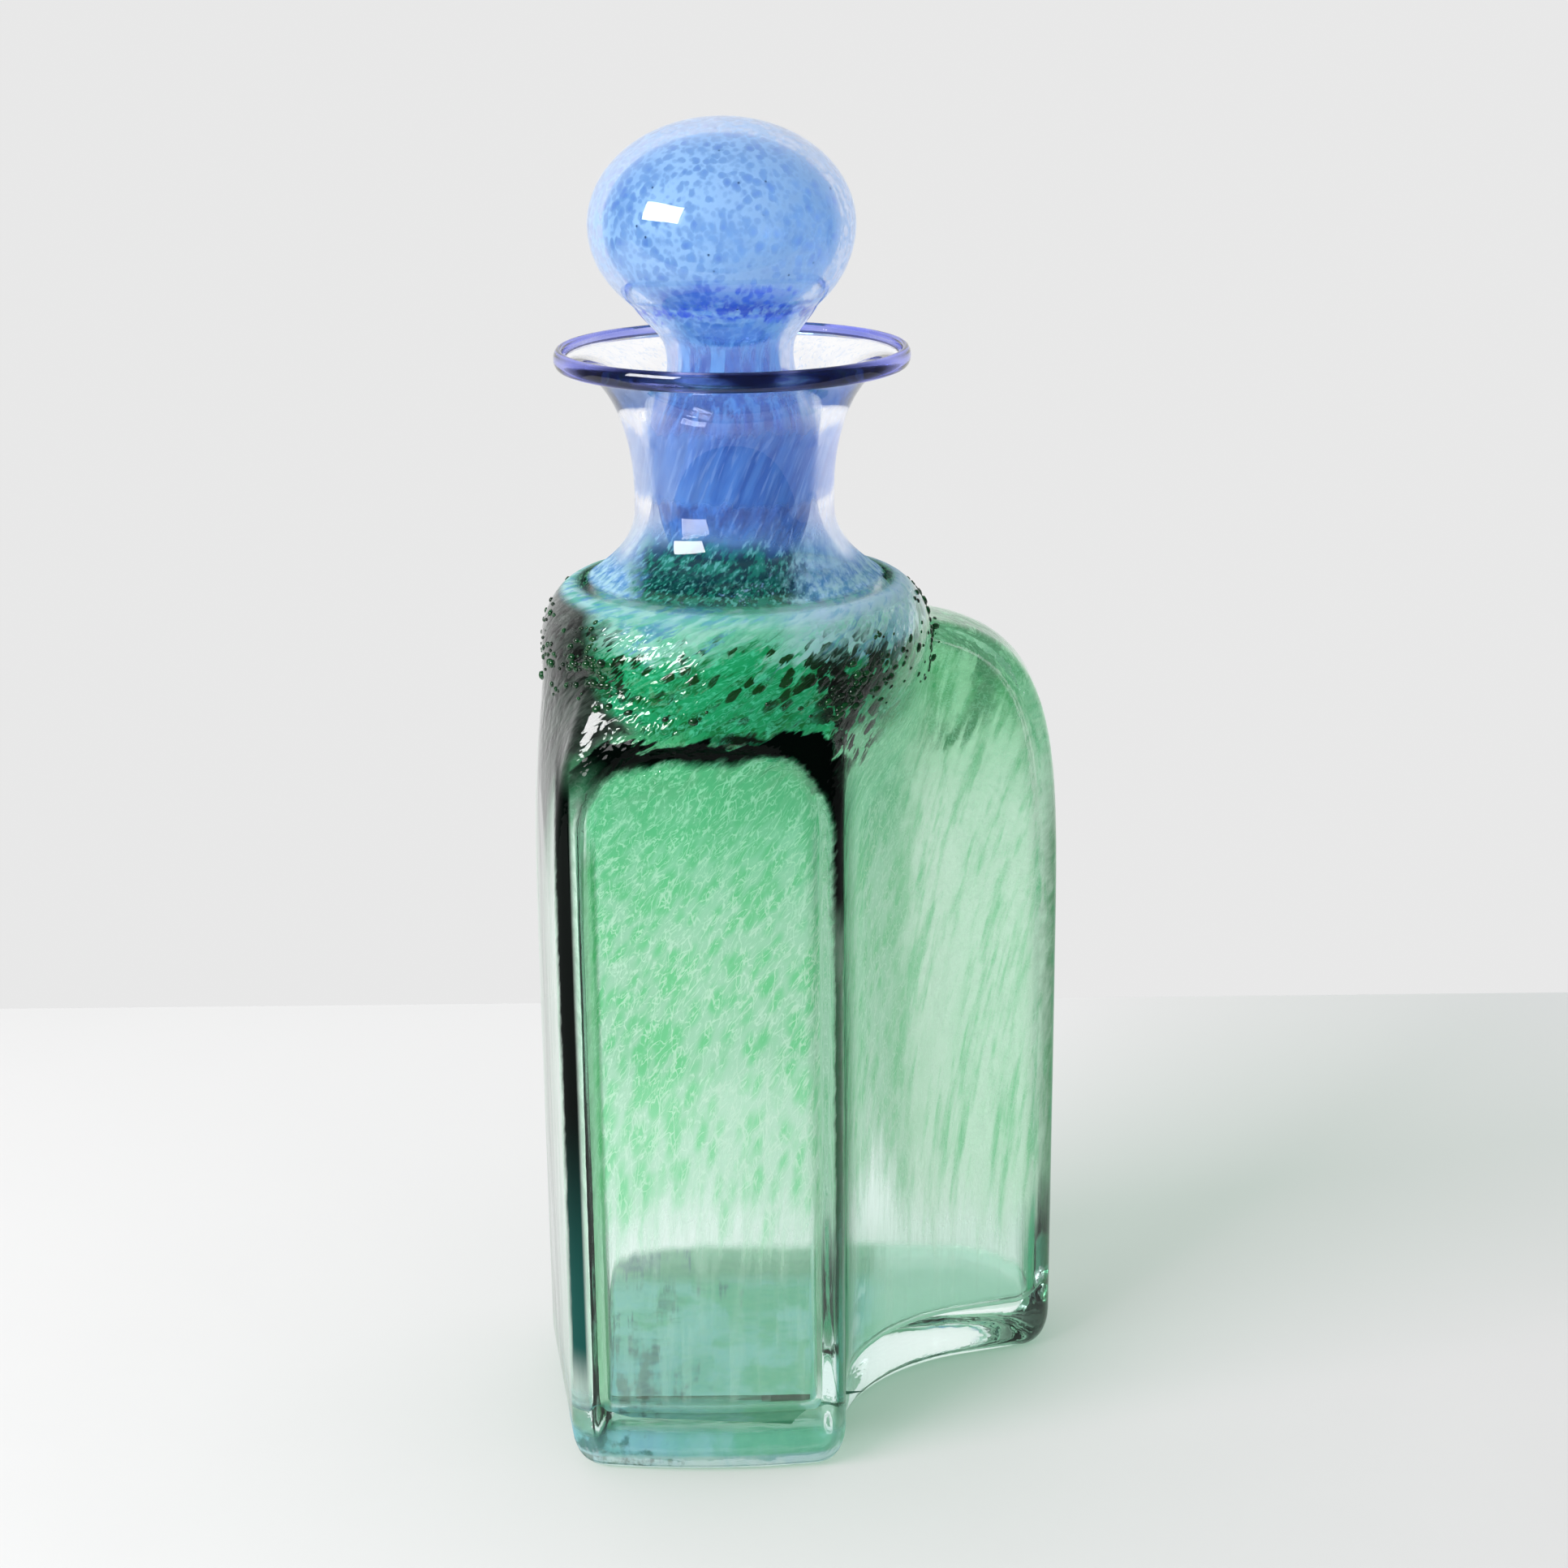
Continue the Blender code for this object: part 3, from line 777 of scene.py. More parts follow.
frit.name = frit.data.name = "frit_grains"
report(frit)

# %% [markdown]
# ## Marks for the finishes
# The colours of such glass lie inside the wall. Each vertex therefore carries numbers that say where it
# is: on the inner face, in the arch, in the grey gather with its painted shade at the left corner, or on
# a seam that is melted together. Materials could find most of this from places alone, but a mark follows
# the form exactly.

# %% Rules for the marks
LINING_BLEND = 1.5 * MM
ARCH_FRONT = -20.0 * MM
ARCH_UNIT = 10.0 * MM
SEAM = 0.01 * MM

# Right end of the grey gather and its painted shade at each height, both in mm
SMOKE_AND_SHADE_HEIGHTS = (120.0, 143.0, 149.0, 156.0, 160.5, 163.0, 166.0, 170.0, 180.0, 187.0)
SMOKE_AND_SHADE_ENDS = (-38.0, -34.5, -33.0, -29.5, -25.0, -19.0, -24.0, -27.0, -27.5, -28.0)
SMOKE_AND_SHADE_BLEND = 3.5
SMOKE_AND_SHADE_BACK = 20.0


def in_bore(x, y, z):
    """One on the bore of the neck, nothing on its outside."""
    height = z - NECK_FOOT
    down_the_outside = neck_section()[:2 * PROFILE_STEPS + 2]
    heights, radii = zip(*[(h, r) for r, h in down_the_outside[::-1]])
    return np.clip((np.interp(height, heights, radii) - np.hypot(x, y)) / LINING_BLEND, 0.0, 1.0)


def in_stopper(x, y, z):
    """One on the inside of the stopper, nothing on its outside."""
    x = x + BALL_LEAN * smoothstep((z - LEAN_FOOT) / LEAN_LENGTH)
    heights, radii = zip(*[(h, r) for r, h in stopper_side(0.0)[::-1]])
    outside = np.interp(z - SEAT_Z, heights, radii)
    top = z - SEAT_Z > BALL_MIDDLE + BALL_TOP_HALF - STOPPER_WALL * 0.5
    return np.where(top, 0.0, np.clip((outside - np.hypot(x, y)) / LINING_BLEND, 0.0, 1.0))


def round_the_arch(x, y, z):
    """How far a place of the front lies inside the arch, in centimetres, less than nothing outside it."""
    return np.where(y < ARCH_FRONT, np.clip(panel_inside(x, z) / ARCH_UNIT, -1.0, 1.0), -1.0)


def in_smoke_and_shade(x, y, z):
    """One on the left front corner above the panel, where a grey gather of glass and painted shade lie."""
    right_end = np.interp(z / MM, SMOKE_AND_SHADE_HEIGHTS, SMOKE_AND_SHADE_ENDS)
    to_front = np.clip((SMOKE_AND_SHADE_BACK - y / MM) / SMOKE_AND_SHADE_BACK, 0.0, 1.0)
    return np.clip((right_end - x / MM) / SMOKE_AND_SHADE_BLEND + 0.5, 0.0, 1.0) * to_front


print("smoke at its widest, x in mm:", max(SMOKE_AND_SHADE_ENDS))

# %% Marks on the vertices
def mark(piece, name, rule):
    """Store a rule of x, y and z on every vertex."""
    set_point_value(piece, name, rule(*places_of(piece).T))


mark(neck, "lining", in_bore)
mark(stopper, "lining", in_stopper)
mark(body, "fused", lambda x, y, z: z > BODY_TOP - SEAM)
mark(body, "arch", round_the_arch)
mark(body, "smoke_and_shade", in_smoke_and_shade)
mark(neck, "fused", lambda x, y, z: z < NECK_FOOT + SEAM)
for marked_piece in (body, neck, stopper):
    print(marked_piece.name, "vertices marked:", len(marked_piece.data.vertices))

# %% [markdown]
# ## Smooth shading
# Facets are hidden by shading across them, but not across real edges such as the rim of the foot. The
# angle says where an edge is real, and it is chosen for each piece from how far its facets turn.

# %% Smooth the skins
def smooth(piece, degrees):
    """Shade a piece smooth where its faces turn by less than an angle."""
    only(piece)
    bpy.ops.object.shade_smooth_by_angle(angle=math.radians(degrees))


SMOOTH_BELOW = ((body, 50), (neck, 50), (lip, 60), (stopper, 40), (frit, 80))
for skin, degrees in SMOOTH_BELOW:
    smooth(skin, degrees)
    print(skin.name, "is smooth below", degrees, "degrees")

# %% [markdown]
# ## Glass in nodes
# Every glass here is clear glass with colour caught in it: a tint that light passes through, and fine
# threads and grains that scatter it. Hundreds of nodes are needed, too many to place by hand. A small
# wrapper lets shader sums be written like ordinary sums, and one method adds any other node.

# %% Values in sums
class Value:
    """A number that changes over a surface: the output of a node, usable in sums."""

    def __init__(self, nodes, socket):
        self.nodes = nodes
        self.socket = socket

    def sum_with(self, operation, first, second):
        made = self.nodes.node("ShaderNodeMath", {"operation": operation}, {0: first, 1: second})
        return Value(self.nodes, made.outputs[0])

    def __add__(self, other):
        return self.sum_with('ADD', self, other)

    def __radd__(self, other):
        return self.sum_with('ADD', other, self)

    def __sub__(self, other):
        return self.sum_with('SUBTRACT', self, other)

    def __rsub__(self, other):
        return self.sum_with('SUBTRACT', other, self)

    def __mul__(self, other):
        return self.sum_with('MULTIPLY', self, other)

    def __rmul__(self, other):
        return self.sum_with('MULTIPLY', other, self)


print("values can be added, subtracted and multiplied")

# %% Nodes for places and patterns
class Nodes:
    """A node tree, and a short word for each node that is used often."""

    def __init__(self, tree):
        self.tree = tree
        self.tree.nodes.clear()

    def node(self, kind, settings, sockets):
        """Add a node: its kind, its settings first, then numbers or links for its sockets."""
        made = self.tree.nodes.new(kind)
        for name, value in settings.items():
            setattr(made, name, value)
        for key, value in sockets.items():
            if isinstance(value, Value):
                self.tree.links.new(value.socket, made.inputs[key])
            else:
                made.inputs[key].default_value = value
        return made

    def place(self):
        """Place on the object in metres."""
        return Value(self, self.node("ShaderNodeTexCoord", {}, {}).outputs["Object"])

    def parts(self, vector):
        split = self.node("ShaderNodeSeparateXYZ", {}, {0: vector})
        return [Value(self, out) for out in split.outputs]

    def vector(self, operation, first, second):
        made = self.node("ShaderNodeVectorMath", {"operation": operation}, {0: first, 1: second})
        return Value(self, made.outputs[0])

    def swirl(self, vector, angle):
        """Turn a place about the neck axis by an angle that may change over the surface."""
        made = self.node("ShaderNodeVectorRotate", {"rotation_type": 'Z_AXIS'}, {
            "Vector": vector, "Angle": angle,
        })
        return Value(self, made.outputs[0])

    def noise(self, vector, scale, detail, roughness, distortion=0.0):
        made = self.node("ShaderNodeTexNoise", {}, {
            "Vector": vector, "Scale": scale, "Detail": detail, "Roughness": roughness,
            "Distortion": distortion,
        })
        return Value(self, made.outputs[0])

    def drift(self, vector, scale, amount):
        """Push a place about by a slow noise, so that cells aren't regular."""
        made = self.node("ShaderNodeTexNoise", {}, {"Vector": vector, "Scale": scale, "Detail": 2.0})
        centred = self.vector('SUBTRACT', Value(self, made.outputs[1]), (0.5, 0.5, 0.5))
        return self.vector('ADD', vector, self.vector('MULTIPLY', centred, (amount,) * 3))

    def vector_of(self, x, y, z):
        made = self.node("ShaderNodeCombineXYZ", {}, {0: x, 1: y, 2: z})
        return Value(self, made.outputs[0])

    def over(self, value, level):
        """How far a value is above a level, nothing below it."""
        return value.sum_with('MAXIMUM', value - level, 0.0)

    def most(self, first, second):
        return first.sum_with('MAXIMUM', first, second)

    def hairs(self, vector, scale, width):
        """Fine curly lines, where a noise passes its middle value."""
        level = self.noise(vector, scale, 2.0, 0.5)
        return self.rise(level, 0.5 - width, 0.5) * self.rise(level, 0.5 + width, 0.5)

    def cells(self, vector, scale):
        """How far a place is from the middle of its cell."""
        made = self.node("ShaderNodeTexVoronoi", {"feature": 'F1'}, {"Vector": vector, "Scale": scale})
        return Value(self, made.outputs["Distance"])

    def cell_shade(self, vector, scale):
        """One random number for each cell."""
        made = self.node("ShaderNodeTexVoronoi", {"feature": 'F1'}, {"Vector": vector, "Scale": scale})
        split = self.node("ShaderNodeSeparateColor", {}, {0: Value(self, made.outputs["Color"])})
        return Value(self, split.outputs[0])

    def rise(self, value, low, high):
        """Nothing below low, one above high, smooth between; high may be the smaller."""
        made = self.node("ShaderNodeMapRange", {"interpolation_type": 'SMOOTHSTEP'}, {
            "Value": value, "From Min": low, "From Max": high,
        })
        return Value(self, made.outputs[0])

    def mix(self, share, first, second):
        """Colour between two colours."""
        made = self.node("ShaderNodeMix", {"data_type": 'RGBA'}, {0: share, 6: first, 7: second})
        return Value(self, made.outputs[2])

    def attribute(self, name):
        made = self.node("ShaderNodeAttribute", {"attribute_name": name}, {})
        return Value(self, made.outputs["Fac"])

    def blend(self, share, first, second):
        """Shader between two shaders."""
        made = self.node("ShaderNodeMixShader", {}, {0: share, 1: first, 2: second})
        return Value(self, made.outputs[0])


print("words for nodes:", len(vars(Nodes)))

# %% Finishes
class Finish(Nodes):
    """One material, and what the glasses have in common."""

    def __init__(self, name):
        self.material = bpy.data.materials.new(name)
        self.material.use_nodes = True
        super().__init__(self.material.node_tree)

    def clear(self, colour):
        return Value(self, self.node("ShaderNodeBsdfTransparent", {}, {"Color": colour}).outputs[0])

    def through(self, colour):
        return Value(self, self.node("ShaderNodeBsdfTranslucent", {}, {"Color": colour}).outputs[0])

    def principled(self, sockets):
        return Value(self, self.node("ShaderNodeBsdfPrincipled", {}, sockets).outputs[0])

    def glass(self, tint, roughness, **others):
        """Clear glass that gives light its tint where it crosses the skin."""
        return self.principled({
            "Base Color": tint, "Roughness": roughness, "IOR": GLASS_IOR,
            "Transmission Weight": 1.0, **others,
        })

    def dull(self, colour):
        """Dull coloured glass inside the wall, with no shine of its own."""
        return self.principled({"Base Color": colour, "Roughness": 0.6, "Specular IOR Level": 0.0})

    def cloud(self, lit, colour, glow):
        """Crushed glass inside the wall: a dull colour, and a share of light that shines through it."""
        return self.blend(lit, self.dull(colour), self.through(glow))

    def bump(self, height, strength, distance):
        made = self.node("ShaderNodeBump", {}, {
            "Height": height, "Strength": strength, "Distance": distance,
        })
        return Value(self, made.outputs[0])

    def passing_ray(self):
        """One for rays that only carry light onwards, to a lamp or from a dull surface."""
        path = self.node("ShaderNodeLightPath", {}, {})
        shadow, dull = (Value(self, path.outputs[name]) for name in ("Is Shadow Ray", "Is Diffuse Ray"))
        return self.most(shadow, dull)

    def let_past(self, surface, colour):
        """Give light that is only on its way to something else one plain colour."""
        return self.blend(self.passing_ray(), surface, self.clear(colour))

    def melted(self, fused, surface):
        """Leave no skin where two pieces are melted together."""
        return self.blend(fused, surface, self.clear(WHITE))

    def count(self, what):
        print(self.material.name, "after", what + ":", len(self.tree.nodes), "nodes")

    def finish(self, surface, depth_colour=None, depth_density=0.0):
        """Connect the surface and an even tint in the depth of the glass."""
        out = self.node("ShaderNodeOutputMaterial", {}, {"Surface": surface})
        if depth_density > 0.0:
            volume = self.node("ShaderNodeVolumeAbsorption", {}, {
                "Color": depth_colour, "Density": depth_density,
            })
            self.tree.links.new(volume.outputs[0], out.inputs["Volume"])
        return self.material


print("words for finishes:", len(vars(Finish)))

# %% Colours, and wearing a finish
GLASS_IOR = 1.5
WHITE = (1.0, 1.0, 1.0, 1.0)
SCREEN_BEND = 0.04


def put_on(piece, material):
    piece.data.materials.clear()
    piece.data.materials.append(material)
    print(piece.name, "wears", material.name)


def tone(red, green, blue):
    """A colour in a shader's linear numbers, from the 0 to 255 numbers that a screen shows."""
    channels = [value / 255.0 for value in (red, green, blue)]
    return (*(
        ((value + 0.055) / 1.055) ** 2.4 if value > SCREEN_BEND else value / 12.92 for value in channels
    ), 1.0)


def once(red, green, blue):
    """A tint for light that crosses one skin only, because each crossing takes half of a glass colour."""
    return (*(channel ** 2.0 for channel in tone(red, green, blue)[:3]), 1.0)


print("half grey on a screen is", round(tone(128, 128, 128)[0], 3), "in a shader")

# %% [markdown]
# ## Green glass of the body
# The body is clear glass with green and white crushed glass caught inside its wall. It could be painted
# as a picture, but a picture has seams and a fixed size. Noise that reads the place on the object runs
# through the whole body without a seam, leans with the twist of the glass and stays where it is when the
# body moves. In each glass below, f is the finish being made. The patterns come first, then their
# colours, then how much of the colour covers the clear glass.

# %% Green glass: places and marks
f = Finish("green_glass")
place = f.place()
x, y, z = f.parts(place)
lined = f.attribute("lining")
fused = f.attribute("fused")
arch = f.attribute("arch")
smoke_and_shade = f.attribute("smoke_and_shade")
outside = 1.0 - lined
f.count("places and marks")

# %% [markdown]
# ### Grain of the melt
# The glass hung from the pipe and was twisted near the neck, so its grain leans over more and more the
# higher it lies. One turned place carries this, and all patterns of the body read it: slow patches,
# round blobs, fine grit and long streaks.

# %% Green glass: twisted grain
HANGS_ABOVE, HANGING_TWIST = 0.035, -75.0
PIPE_ABOVE, PIPE_TWIST = 0.150, 560.0

hung = f.over(z, HANGS_ABOVE)
twisted = f.over(z, PIPE_ABOVE)
turn = hung * hung * HANGING_TWIST - twisted * twisted * PIPE_TWIST
flow = f.swirl(f.vector_of(x, y, z * (z * 1.6 + 0.10)), turn)
long_flow = f.swirl(f.vector_of(x, y, z * (z * 0.6 + 0.04)), turn)
patches = f.noise(f.drift(flow, 90.0, 0.006), 55.0, 4.0, 0.62)
blobs = f.noise(f.drift(flow, 300.0, 0.0015), 260.0, 2.0, 0.5)
grit = f.noise(flow, 620.0, 3.0, 0.6)
streak = f.noise(long_flow, 420.0, 3.0, 0.6)
f.count("the grain of the melt")

# %% [markdown]
# ### Zones
# From the foot up the body is clear, pale green, emerald with a dark band, and pale again at the crease.
# Each zone is a rise between two heights. The heights are made ragged by the patches and the streaks
# first, because molten glass has no level edges. The wing has zones of its own.

# %% Green glass: zones from the foot up
WING = (0.026, 0.040)
COLOURED = (0.044, 0.068)
UPPER = (0.110, 0.160)
EMERALD = (0.156, 0.164)
FLANK = (0.00018, 0.00048)
BAND_FOOT, BAND_TOP = (0.168, 0.173), (0.184, 0.178)
CREST = (0.1757, 0.1797)

ragged = z + (patches - 0.5) * 0.020 + (grit - 0.5) * 0.010
wing = f.rise(x, *WING)
tongue = z + (streak - 0.5) * 0.030 + (patches - 0.5) * 0.016 + wing * 0.022
faded = f.rise(tongue, *COLOURED)
upper = f.rise(z, *UPPER)
emerald = f.rise(ragged, *EMERALD) * (1.0 - wing)
flank = f.rise((x + 0.004) * (x + 0.004), *FLANK)
dark_band = f.rise(ragged, *BAND_FOOT) * f.rise(ragged, *BAND_TOP) * (1.0 - wing * 0.8)
strip = f.rise(x, 0.012, 0.018) * f.rise(x, 0.030, 0.025) * f.rise(y, -0.012, -0.020)
strip = strip * f.rise(ragged, 0.148, 0.156) * f.rise(ragged, 0.180, 0.172)
dark_band = f.most(dark_band, strip)
crest = f.rise(ragged, *CREST)
f.count("the zones")

# %% Green glass: swirl in the wing's top
SWIRL_MIDDLE = (0.042, 0.160)
SWIRL_INSIDE, SWIRL_OUTSIDE = (0.00004, 0.00011), (0.00022, 0.00014)

swirl_x, swirl_z = x - SWIRL_MIDDLE[0], z - SWIRL_MIDDLE[1]
around = swirl_x * swirl_x + swirl_z * swirl_z + (streak - 0.5) * 0.00012 + (patches - 0.5) * 0.00016
swirl = f.rise(around, *SWIRL_INSIDE) * f.rise(around, *SWIRL_OUTSIDE) * f.rise(x, 0.036, 0.044)
f.count("the swirl")

# %% [markdown]
# ### Threads and dots
# White threads lie on three slants that cross each other. A thread is the line where a slow noise passes
# its middle value, which is curly and never ends bluntly, as drawn glass is. The dots in the emerald
# are the middles of cells.

# %% Green glass: threads and dots
DOT = (0.42, 0.20)
DARK_DOT = (0.36, 0.30)

fibre = f.drift(f.swirl(f.vector_of(x, y, z * (z * 1.2 + 0.07)), turn), 350.0, 0.0010)
right_hair = f.hairs(f.swirl(fibre, z * -10.0), 420.0, 0.030)
left_hair = f.hairs(f.swirl(fibre, z * 7.0), 380.0, 0.028)
fine_hair = f.hairs(fibre, 800.0, 0.040)
threads = f.most(f.most(right_hair, left_hair), fine_hair * 0.6) * f.rise(grit, 0.36, 0.52)
ovals = f.cells(f.drift(flow, 260.0, 0.0012), 400.0)
green_share = f.rise(blobs * 0.5 + patches * 0.5 - ovals * 0.42 + upper * 0.06, 0.16, 0.46)
turned_place = f.drift(f.swirl(f.vector_of(x, y, z * 0.8), turn * 0.45), 260.0, 0.0022)
cell = f.cells(turned_place, 330.0) - (patches - 0.5) * 0.9
spot = f.rise(cell, *DOT)
dark = dark_band * f.rise(cell - flank * 0.16 - strip * 0.12, *DARK_DOT)
f.count("the threads and dots")

# %% [markdown]
# ### Colours in the wall
# Each zone has two or three colours that a pattern chooses between. They are mixed from the foot up, so
# that a higher zone lies over a lower one where their ragged ends meet.

# %% Green glass: pale ground of panel and wing
pale = f.mix(f.rise(z, 0.050, 0.105), tone(202, 222, 210), tone(180, 214, 194))
pale = f.mix(upper, pale, tone(90, 190, 144))
pale = f.mix(f.rise(z + (patches - 0.5) * 0.02, 0.140, 0.158), pale, tone(34, 146, 88))
wing_place = f.vector_of(x - z * z * 1.4, y, z * 0.06)
wing_streak = f.noise(wing_place, 440.0, 3.0, 0.6) * 0.6 + f.noise(wing_place, 150.0, 3.0, 0.6) * 0.4
wing_streak = wing_streak + (grit - 0.5) * 0.12
wing_pale = f.mix(f.rise(wing_streak, 0.46, 0.66), tone(244, 248, 242), tone(140, 210, 164))
wing_root = f.rise(x, 0.038, 0.028) * f.rise(wing_streak, 0.38, 0.52)
wing_pale = f.mix(wing_root, wing_pale, tone(76, 178, 112))
wing_high = f.mix(f.rise(wing_streak, 0.40, 0.60), tone(166, 222, 178), tone(24, 150, 76))
pale = f.mix(wing, pale, f.mix(f.rise(z, 0.125, 0.165), wing_pale, wing_high))
pale = f.mix(swirl * f.rise(wing_streak, 0.36, 0.48), pale, tone(10, 104, 52))
f.count("the pale ground")

# %% Green glass: mint, emerald and ice
green = f.mix(upper, tone(88, 194, 128), tone(44, 162, 106))
mint = f.mix(green_share * (0.85 - wing * 0.68), pale, green)
deep = f.mix(f.rise(blobs + (grit - 0.5) * 0.6, 0.42, 0.62), tone(12, 132, 84), tone(0, 92, 42))
deep = f.mix(spot, deep, tone(0, 40, 6))
ice = f.mix(f.rise(blobs, 0.42, 0.58), tone(170, 212, 212), tone(90, 178, 156))
ice = f.mix(f.rise(x, 0.004, 0.018), ice, tone(184, 204, 236))
ice = f.mix(f.rise(patches + (streak - 0.5) * 0.8, 0.54, 0.63) * 0.8, ice, tone(50, 118, 200))
colour = f.mix(emerald, mint, deep)
colour = f.mix(crest, colour, ice)
white = f.mix(emerald, f.mix(upper, tone(226, 232, 226), tone(164, 216, 188)), tone(84, 184, 154))
cloud_colour = f.mix(threads * (0.65 - wing * 0.25), colour, white)
f.count("mint, emerald and ice")

# %% [markdown]
# ### Floor of the inside, left wall and smoke, with their painted light
# Through the clear foot one looks at the flat floor of the inside. Its teal blotches are painted shadow,
# for the teal shadow that the green glass casts on the table under it, with a bluish painted reflection
# and darker streaks at the left. The left wall is nearly colourless, and its pale grey streaks are a
# painted reflection of the bright room at a grazing view. The smoky grey over the left front corner is
# partly a gather of grey glass and partly painted shade, for the dark room that the rounded corner
# reflects.

# %% Green glass: painted shadow on the floor of the inside
FLOOR_SHADOW = (0.0150, 0.0122)
PALER_FLOOR_SHADOW = (0.020, 0.032)

# Painted shadow: teal blotches on the floor of the inside, for the teal shadow that the glass casts on the
# table under it.
floor_blotches = f.noise(f.drift(place, 60.0, 0.012), 70.0, 4.0, 0.6)
ripple = f.noise(f.vector('MULTIPLY', place, (1.0, 0.16, 1.0)), 380.0, 3.0, 0.6)
floor_shadow_hue = f.mix(f.rise(floor_blotches, 0.40, 0.60), tone(138, 190, 198), tone(92, 170, 146))
floor_shadow_hue = f.mix(f.rise(y, 0.024, 0.034), floor_shadow_hue, tone(104, 150, 128))
stain = f.rise(floor_blotches * 0.6 + ripple * 0.6 - f.over(x, -0.022) * 9.0, 0.56, 0.70)
# Painted reflection: bluish towards the left front of the floor.
floor_shadow_hue = f.mix(f.rise(x, 0.004, -0.024) * f.rise(y, 0.012, -0.016) * 0.7, floor_shadow_hue, tone(112, 166, 198))
floor_shadow_hue = f.mix(stain, floor_shadow_hue, tone(46, 80, 110))
paler_floor_shadow = f.rise(x, *PALER_FLOOR_SHADOW)
floor_shadow_hue = f.mix(paler_floor_shadow, floor_shadow_hue, tone(170, 210, 200))
floor_shadow = f.rise(z, *FLOOR_SHADOW)
cloud_colour = f.mix(faded, f.mix(floor_shadow, tone(222, 232, 228), floor_shadow_hue), cloud_colour)
f.count("the puddles")

# %% Green glass: left wall with painted reflection, smoke with painted shade, and dark dots
# Painted reflection: pale grey streaks on the left wall, for the bright room that it reflects at a grazing
# view.
left_wall_reflection = f.rise(x + y * 0.164, -0.0362, -0.0380) * f.rise(z, 0.012, 0.020) * (1.0 - smoke_and_shade)
wall_reflection_grey = f.mix(f.rise(streak, 0.35, 0.65), tone(188, 194, 190), tone(226, 230, 228))
cloud_colour = f.mix(left_wall_reflection * 0.92, cloud_colour, wall_reflection_grey)
# The smoke's dark grey is partly grey glass and partly painted shade, for the dark room that the rounded
# corner reflects.
smoke_and_shade_grey = f.mix(f.rise(streak, 0.3, 0.7), tone(16, 20, 18), tone(66, 72, 68))
cloud_colour = f.mix(smoke_and_shade, cloud_colour, smoke_and_shade_grey)
dark_green = f.mix(f.most(flank, strip), tone(0, 44, 8), tone(0, 3, 1))
cloud_colour = f.mix(dark, cloud_colour, dark_green)
f.count("the left wall and the smoke")

# %% [markdown]
# ### How much colour covers the glass
# Milk is the share of a place that is crushed glass and not clear glass. It is high in the panel, nearly
# whole in the emerald and almost nothing at the foot, and it lies on the inner face only, so that thick
# clear glass shows in front of it, as in the real wall.

# %% Green glass: milk
MILK, THREAD_MILK = 0.78, 0.14
FOOT_MILK, FOOT_STREAK_MILK = 0.03, 0.12
SOLID_MILK, CREST_MILK = 0.16, 0.15
FLOOR_SHADOW_MILK, LEFT_WALL_REFLECTION_MILK = 0.80, 0.7

solid = f.most(emerald * (1.0 - crest), f.most(smoke_and_shade, dark))
foot_milk = FOOT_MILK + f.rise(streak, 0.48, 0.66) * FOOT_STREAK_MILK
milk = (MILK + threads * THREAD_MILK) * faded + (1.0 - faded) * foot_milk
# The floor's painted shadow and the left wall's painted reflection get milk of their own.
low_milk = f.most(floor_shadow * (FLOOR_SHADOW_MILK - paler_floor_shadow * 0.3), left_wall_reflection * LEFT_WALL_REFLECTION_MILK)
milk = f.most(milk + solid * SOLID_MILK - crest * CREST_MILK, low_milk) * lined
f.count("milk")

# %% [markdown]
# ### Dark glass and painted shade round the arch
# A nearly black band runs over the arch: partly dark glass and partly painted shade, for the dark room
# that the thick glass there bends into view. The ridges beside the panel are dark green lines of painted
# shade. The mark for the arch says how far a place is from its edge, so the band is a range of that
# distance with a wavy upper and lower end.

# %% Green glass: black band of dark glass and painted shade
BAND_START, BAND_END = (-0.02, 0.08), (0.70, 0.44)
BAND_FADE = (0.140, 0.156)

slow = f.noise(flow, 150.0, 2.0, 0.5)
wave = arch + (slow - 0.5) * 1.1 + (grit - 0.5) * 0.45
corner = f.rise(x, 0.002, 0.016) * f.rise(z, 0.174, 0.162)
left_end = f.rise(x, -0.018, -0.027)
inner_end = arch + (grit - 0.5) * 0.30 + f.rise(x, -0.002, 0.012) * 0.46 + left_end * 0.28
inner_end = inner_end + (blobs - 0.5) * 0.25
# Painted shade over dark glass: the band is nearly black where the thick arch bends the dark room into
# view.
band = f.rise(wave + corner * 0.66 + left_end * 0.36, *BAND_START) * f.rise(inner_end, *BAND_END)
band = band * f.rise(z + (patches - 0.5) * 0.02 + corner * 0.03, *BAND_FADE)
f.count("the black band")

# %% Green glass: painted shade and highlight lines in the ridges
RIDGE_IN, RIDGE_OUT = (-0.22, -0.11), (0.12, 0.03)
GROOVE_IN, GROOVE_OUT = (0.14, 0.20), (0.50, 0.40)
WING_END, WING_END_TOP = (0.0640, 0.0694), (0.162, 0.120)

left_half = f.rise(x, 0.0, -0.01)
side = arch + (grit - 0.5) * 0.10 - left_half * 0.06
# Painted shade: dark green lines in the thick ridges right of the middle, for the dark room they bend into
# view.
line = f.rise(side, *RIDGE_IN) * f.rise(side, *RIDGE_OUT) * (1.0 - left_half)
# Painted highlight: a lighter line just inside the arch on the left, for the shine on the panel's edge.
groove_highlight = f.rise(arch, *GROOVE_IN) * f.rise(arch, *GROOVE_OUT) * left_half * f.rise(z, 0.145, 0.135)
shade_and_highlight_line_hue = f.mix(f.rise(z, 0.140, 0.120), once(20, 50, 36), once(34, 100, 74))
shade_and_highlight_line_hue = f.mix(f.rise(z, 0.06, 0.03), shade_and_highlight_line_hue, once(110, 180, 164))
